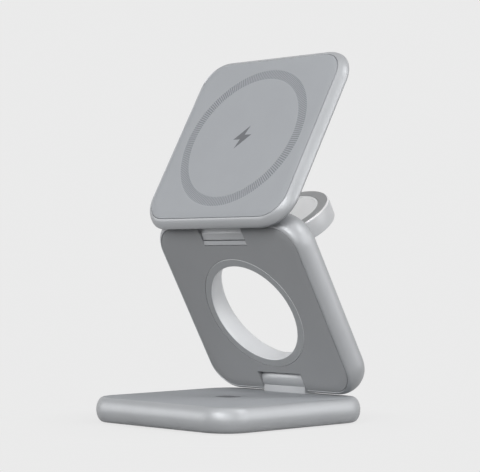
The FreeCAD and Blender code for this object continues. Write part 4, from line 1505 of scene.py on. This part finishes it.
@dataclass
class PuckPart:
    """The watch puck: its housing with the hinge tab, and the pale disc in its face.

    Args:
        arm: distance from the hinge axis to the puck's centre.
        radius: the housing's radius.
        face: height of its face above the axis.
        back: height of its back.
        bore: radius of the hollow inside.
        lip: thickness of the lip round the disc.
        disc_radius: radius of the disc that shows.
        tab_half: half of the width of the hinge tab.
        tab_radius: radius of its round end.
        tab_sink: how far the tab passes the wall of the housing.
        tab_bevel: size of the bevel at the tab's sides.
        pin_radius: radius of the hole for the pin.
        bevel: size of the bevel round the housing.
        rim: width of the disc's raised rim.
        dish: depth of the disc's hollow.
        flange: thickness of the flange that holds the disc from behind.
        centre: radius of the flat at the middle of the flange.
        rim_fall: height of the outer bevel of the disc's rim, and width of the inner one.
        rim_in: width of the outer bevel.
        bowl_rise: how far the hollow rises to its border, as a share of its depth.
        bowl_flat: radius of the flat at its middle, as a share of its own.
        bowl_steps: points from its border to its middle.
        nose_steps: points on the tab's round end.
        face_layer: depth of the layer of faces that takes the front rim's finish.
        facing: share by which these faces look out to the front at least.
        leaning: the same for the bevel's faces.
        steps: spans round the puck.
    """

    arm: float = 21.1
    radius: float = 18.3
    face: float = 2.2
    back: float = -4.6
    bore: float = 16.5
    lip: float = 1.2
    disc_radius: float = 14.3
    tab_half: float = 7.4
    tab_radius: float = 2.0
    tab_sink: float = 0.4
    tab_bevel: float = 0.2
    pin_radius: float = 0.85
    bevel: float = 0.45
    rim: float = 0.9
    dish: float = 0.3
    flange: float = 0.8
    centre: float = 0.3
    rim_fall: float = 0.12
    rim_in: float = 0.15
    bowl_rise: float = 0.35
    bowl_flat: float = 0.02
    bowl_steps: int = 14
    nose_steps: int = 24
    face_layer: float = 0.05
    facing: float = 0.98
    leaning: float = 0.3
    steps: int = 144

    def housing(self) -> bpy.types.Object:
        """A turned ring with bevelled rims, joined to a flat tab with a round end.

        Returns:
            The housing.
        """
        lip_z = self.face - self.lip
        hole = self.disc_radius + SIZES.seat_gap
        bevel = self.bevel
        soft = bevel * BEVEL_ROUND
        loop = np.array(
            [(self.bore, self.back), (self.radius - bevel, self.back)]
            + [(self.radius - soft, self.back + soft), (self.radius, self.back + bevel)]
            + [(self.radius, self.face - bevel), (self.radius - bevel, self.face)]
            + [(hole, self.face), (hole, lip_z), (self.bore, lip_z)]
        )
        ring = turned_form(loop, self.arm, self.steps, closed=True)
        piece = ring.build("puck_housing_form", FRAMES[Body.PUCK])
        swept = np.linspace(math.pi / 2, 3 * math.pi / 2, self.nose_steps)
        nose = self.tab_radius * np.stack([np.cos(swept), np.sin(swept)], axis=-1)
        inside = self.arm - math.sqrt(self.bore**2 - self.tab_half**2) - self.tab_sink
        root = np.array([(inside, -self.tab_radius), (inside, self.tab_radius)])
        tab = extruded_form(np.concatenate([nose, root]), self.tab_half, self.tab_bevel)
        carve(piece, tab.build("tab", FRAMES[Body.PUCK]), Carve.JOIN)
        pin = bar_form(0.0, 0.0, self.pin_radius, self.tab_half + SIZES.past)
        carve(piece, pin.build("tab_bore", FRAMES[Body.PUCK]), Carve.CUT)
        dress(piece, Finishes.PUCK_SIDE, Body.PUCK, ("puck_housing",))
        layer = (self.face - self.face_layer, self.face + self.face_layer)
        paint(piece, Finishes.PUCK_FACE, FRAMES[Body.PUCK], layer, (self.facing, math.inf))
        rim = (self.face - bevel, self.face)
        paint(piece, Finishes.CUT_RIM, FRAMES[Body.PUCK], rim, (self.leaning, self.facing))
        return piece

    def disc(self) -> bpy.types.Object:
        """The dished disc: inside a thin raised rim its face sinks as the square of the radius falls.

        Returns:
            The disc.
        """
        flange_top = self.face - self.lip
        flange_low = flange_top - self.flange
        inner = self.disc_radius - self.rim
        share = np.linspace(1.0, self.bowl_flat, self.bowl_steps)
        bowl = np.stack([inner * share, self.face - self.dish * (1 - self.bowl_rise * share**2)], axis=-1)
        outer = self.bore - SIZES.seat_gap
        rows = [(self.centre, flange_low), (outer, flange_low), (outer, flange_top)]
        rows += [(self.disc_radius, flange_top), (self.disc_radius, self.face - self.rim_fall)]
        rows += [(self.disc_radius - self.rim_in, self.face), (inner + self.rim_fall, self.face)]
        form = turned_form(np.concatenate([np.array(rows), bowl]), self.arm, self.steps, closed=False)
        piece = form.build("puck_disc_form", FRAMES[Body.PUCK])
        return dress(piece, Finishes.DISC, Body.PUCK, ("puck_disc",))

    def build(self) -> None:
        """Build the puck's pieces in order."""
        self.housing()
        self.disc()


# Finishes of the solids that keep their own shape
KEPT = {
    Finishes.PAD: ("base_foot_pad",),
    Finishes.STEEL: (
        "base_ballast",
        "base_board_screws",
        "usb_c_socket",
        "lower_hinge_screws",
        "upper_hinge_screws",
        "puck_hinge_pin",
        "lower_hinge_pins",
        "upper_hinge_pins",
        "lower_friction_washers",
        "upper_friction_washers",
        "ring_magnets",
        "puck_magnet",
    ),
    Finishes.MASK: ("base_circuit_board", "middle_circuit_board", "top_circuit_board", "puck_board"),
    Finishes.CHIP: ("base_board_parts", "usb_c_tongue"),
    Finishes.COPPER: ("earbud_coil", "phone_coil", "puck_coil"),
    Finishes.FERRITE: ("earbud_ferrite", "phone_ferrite", "puck_ferrite"),
    Finishes.FILM: ("hinge_flex",),
    Finishes.COVER: ("puck_back_cover",),
}


def dress_kept_solids() -> None:
    """Give each solid that keeps its shape its finish."""
    for finish, names in KEPT.items():
        for name in names:
            node = frame["nodes"][name]
            node.data.materials.clear()
            node.data.materials.append(finish.value.material())
            LOG.info("%s: %s", name, finish.value.name)


@dataclass
class Studio:
    """Floor, light of the room, lamps and camera, in metres and degrees.

    Args:
        pale: colour of the floor and the room for the camera and for reflections.
        bounce: colour of the floor for the light that it sends up.
        ambient: strength of the room's diffuse light from the sides.
        dim_from: Z of the direction from which that light falls, to nothing overhead.
        shadow: how much darker the floor is below the stand, for the camera.
        mirrored_shadow: the same for reflections.
        shadow_start: distance from the middle up to which the floor is darkest.
        shadow_reach: distance from which it is pale.
        floor_half: half of the floor's width.
        floor_drop: how far the floor lies below the foot pad.
        lens: focal length in millimetres.
        sensor: width of the sensor in millimetres.
        camera_at: the camera's place.
        azimuth: its direction, from the front round to the right.
        elevation: how far it looks down.
        near: distance from which the camera sees.
        aim_height: height of the point that the lamps look at.
        lamp_distance: distance of the lamps from that point.
    """

    pale: tuple[float, float, float] = (0.827, 0.827, 0.827)
    bounce: tuple[float, float, float] = (0.05, 0.05, 0.051)
    ambient: float = 0.55
    dim_from: float = 0.25
    shadow: float = 0.12
    mirrored_shadow: float = 0.95
    shadow_start: float = 0.035
    shadow_reach: float = 0.08
    floor_half: float = 6.0
    floor_drop: float = 0.00003
    lens: float = 130.85
    sensor: float = 36.0
    camera_at: tuple[float, float, float] = (0.43015, -0.41107, 0.05561)
    azimuth: float = 45.91
    elevation: float = -0.76
    near: float = 0.01
    aim_height: float = 0.06
    lamp_distance: float = 1.2

    def floor(self) -> None:
        """A wide plate under the stand: pale with a soft round shadow, and darker for the light it sends up.

        What the camera and reflections see is a glow, whose share falls towards the middle. The rest is lit
        by the lamps, so the stand's own shadow shows there.
        """
        half, low = self.floor_half, -self.floor_drop
        corners = [(-half, -half, low), (half, -half, low), (half, half, low), (-half, half, low)]
        mesh = bpy.data.meshes.new("floor")
        mesh.from_pydata(corners, [], [(0, 1, 2, 3)])
        plate = bpy.data.objects.new("floor", mesh)
        bpy.context.scene.collection.objects.link(plate)
        shade = Shade("pale_floor")
        shade.set(Roughness=1.0, Specular_IOR_Level=0.0)
        seen = shade.seen()
        shade.link(shade.blend(seen, self.bounce, self.pale), shade.surface.inputs["Base Color"])
        glow = shade.node("ShaderNodeEmission", Color=(*self.pale, 1.0))
        away = shade.node("ShaderNodeVectorMath", operation="LENGTH")
        shade.link(shade.place(), away.inputs[0])
        camera = shade.node("ShaderNodeLightPath").outputs["Is Camera Ray"]
        least = shade.ramp(camera, (0.0, 1.0), (1.0 - self.mirrored_shadow, 1.0 - self.shadow))
        reach = (self.shadow_start, self.shadow_reach)
        fade = shade.ramp(away.outputs["Value"], reach, (least, 1.0), interpolation_type="SMOOTHSTEP")
        mix = shade.node("ShaderNodeMixShader")
        shade.link(shade.math("MULTIPLY", seen, fade), mix.inputs[0])
        shade.link(shade.surface.outputs[0], mix.inputs[1])
        shade.link(glow.outputs[0], mix.inputs[2])
        shade.link(mix.outputs[0], shade.tree.nodes["Material Output"].inputs["Surface"])
        mesh.materials.append(shade.material)

    def world(self) -> None:
        """The room: even and pale for the camera and reflections, with diffuse light that fades overhead."""
        world = bpy.data.worlds.new("pale_room")
        bpy.context.scene.world = world
        world.use_nodes = True
        room = Nodes(world.node_tree)
        back = room.tree.nodes["Background"]
        back.inputs["Color"].default_value = (*self.pale, 1.0)
        height = room.node("ShaderNodeSeparateXYZ")
        room.link(room.node("ShaderNodeTexCoord").outputs["Generated"], height.inputs[0])
        dim = room.ramp(height.outputs["Z"], (self.dim_from, 1.0), (self.ambient, 0.0))
        room.link(room.ramp(room.seen(), (0.0, 1.0), (dim, 1.0)), back.inputs["Strength"])

    def lamp(self, name: str, azimuth: float, elevation: float, size: float, power: float) -> None:
        """A soft square lamp at a distance from the stand's middle, turned to it.

        Args:
            name: the lamp's name.
            azimuth: where it stands, from the front round to the right, in degrees.
            elevation: how high it stands, in degrees.
            size: its width.
            power: its power in watts.
        """
        light = bpy.data.lights.new(name, "AREA")
        light.size = size
        light.energy = power
        made = bpy.data.objects.new(name, light)
        a, e = math.radians(azimuth), math.radians(elevation)
        way = Vector((math.sin(a) * math.cos(e), -math.cos(a) * math.cos(e), math.sin(e)))
        made.location = Vector((0.0, 0.0, self.aim_height)) + way * self.lamp_distance
        made.rotation_euler = way.to_track_quat("Z", "Y").to_euler()
        made.visible_camera = False
        bpy.context.scene.collection.objects.link(made)

    def camera(self) -> None:
        """The photograph's view: its place, turn and lens come from a fit of the stand's edges."""
        lens = bpy.data.cameras.new("view")
        lens.lens = self.lens
        lens.sensor_width = self.sensor
        lens.sensor_fit = "HORIZONTAL"
        lens.clip_start = self.near
        made = bpy.data.objects.new("view", lens)
        made.location = self.camera_at
        made.rotation_euler = (math.radians(90.0 - self.elevation), 0.0, math.radians(self.azimuth))
        bpy.context.scene.collection.objects.link(made)
        bpy.context.scene.camera = made

    def build(self) -> None:
        """Set the stage: each lamp has an azimuth, an elevation, a width and a power."""
        self.floor()
        self.world()
        self.lamp("front_lamp", 21.0, 26.0, 0.55, 6.8)
        self.lamp("right_lamp", 112.0, 46.0, 0.5, 4.2)
        self.lamp("left_low_lamp", -46.0, 2.0, 0.9, 6.1)
        self.lamp("rear_low_lamp", 134.0, 8.0, 0.9, 4.6)
        self.lamp("near_lamp", 46.0, 14.0, 0.8, 4.5)
        self.lamp("right_low_lamp", 101.0, 5.0, 0.8, 4.3)
        self.lamp("upper_lamp", 30.0, 70.0, 0.9, 2.0)
        self.camera()
        bpy.context.scene.view_settings.view_transform = "Standard"


def main() -> None:
    """Build the studio, then each part of the stand in order."""
    Studio().build()
    BasePart().build()
    MiddlePart().build()
    TopPart().build()
    base_axis = Placing(joint_point("lower_hinge"), np.array([0.0, 0.0, -1.0]))
    HingeLeaf("lower_leaf_form", "lower_hinge_leaf", Body.BASE, base_axis, radius=4.4).build()
    top_axis = Placing(joint_point("upper_hinge"), mount_axis("phone_face"))
    flush = top_axis.axes()[1:] @ FRAMES[Body.MIDDLE].normal
    HingeLeaf("upper_leaf_form", "upper_hinge_leaf", Body.TOP, top_axis, flush=flush).build()
    PuckPart().build()
    Mark("case_mark", Body.BASE, SIZES.base_top).case()
    dress_kept_solids()


if __name__ == "__main__":
    main()
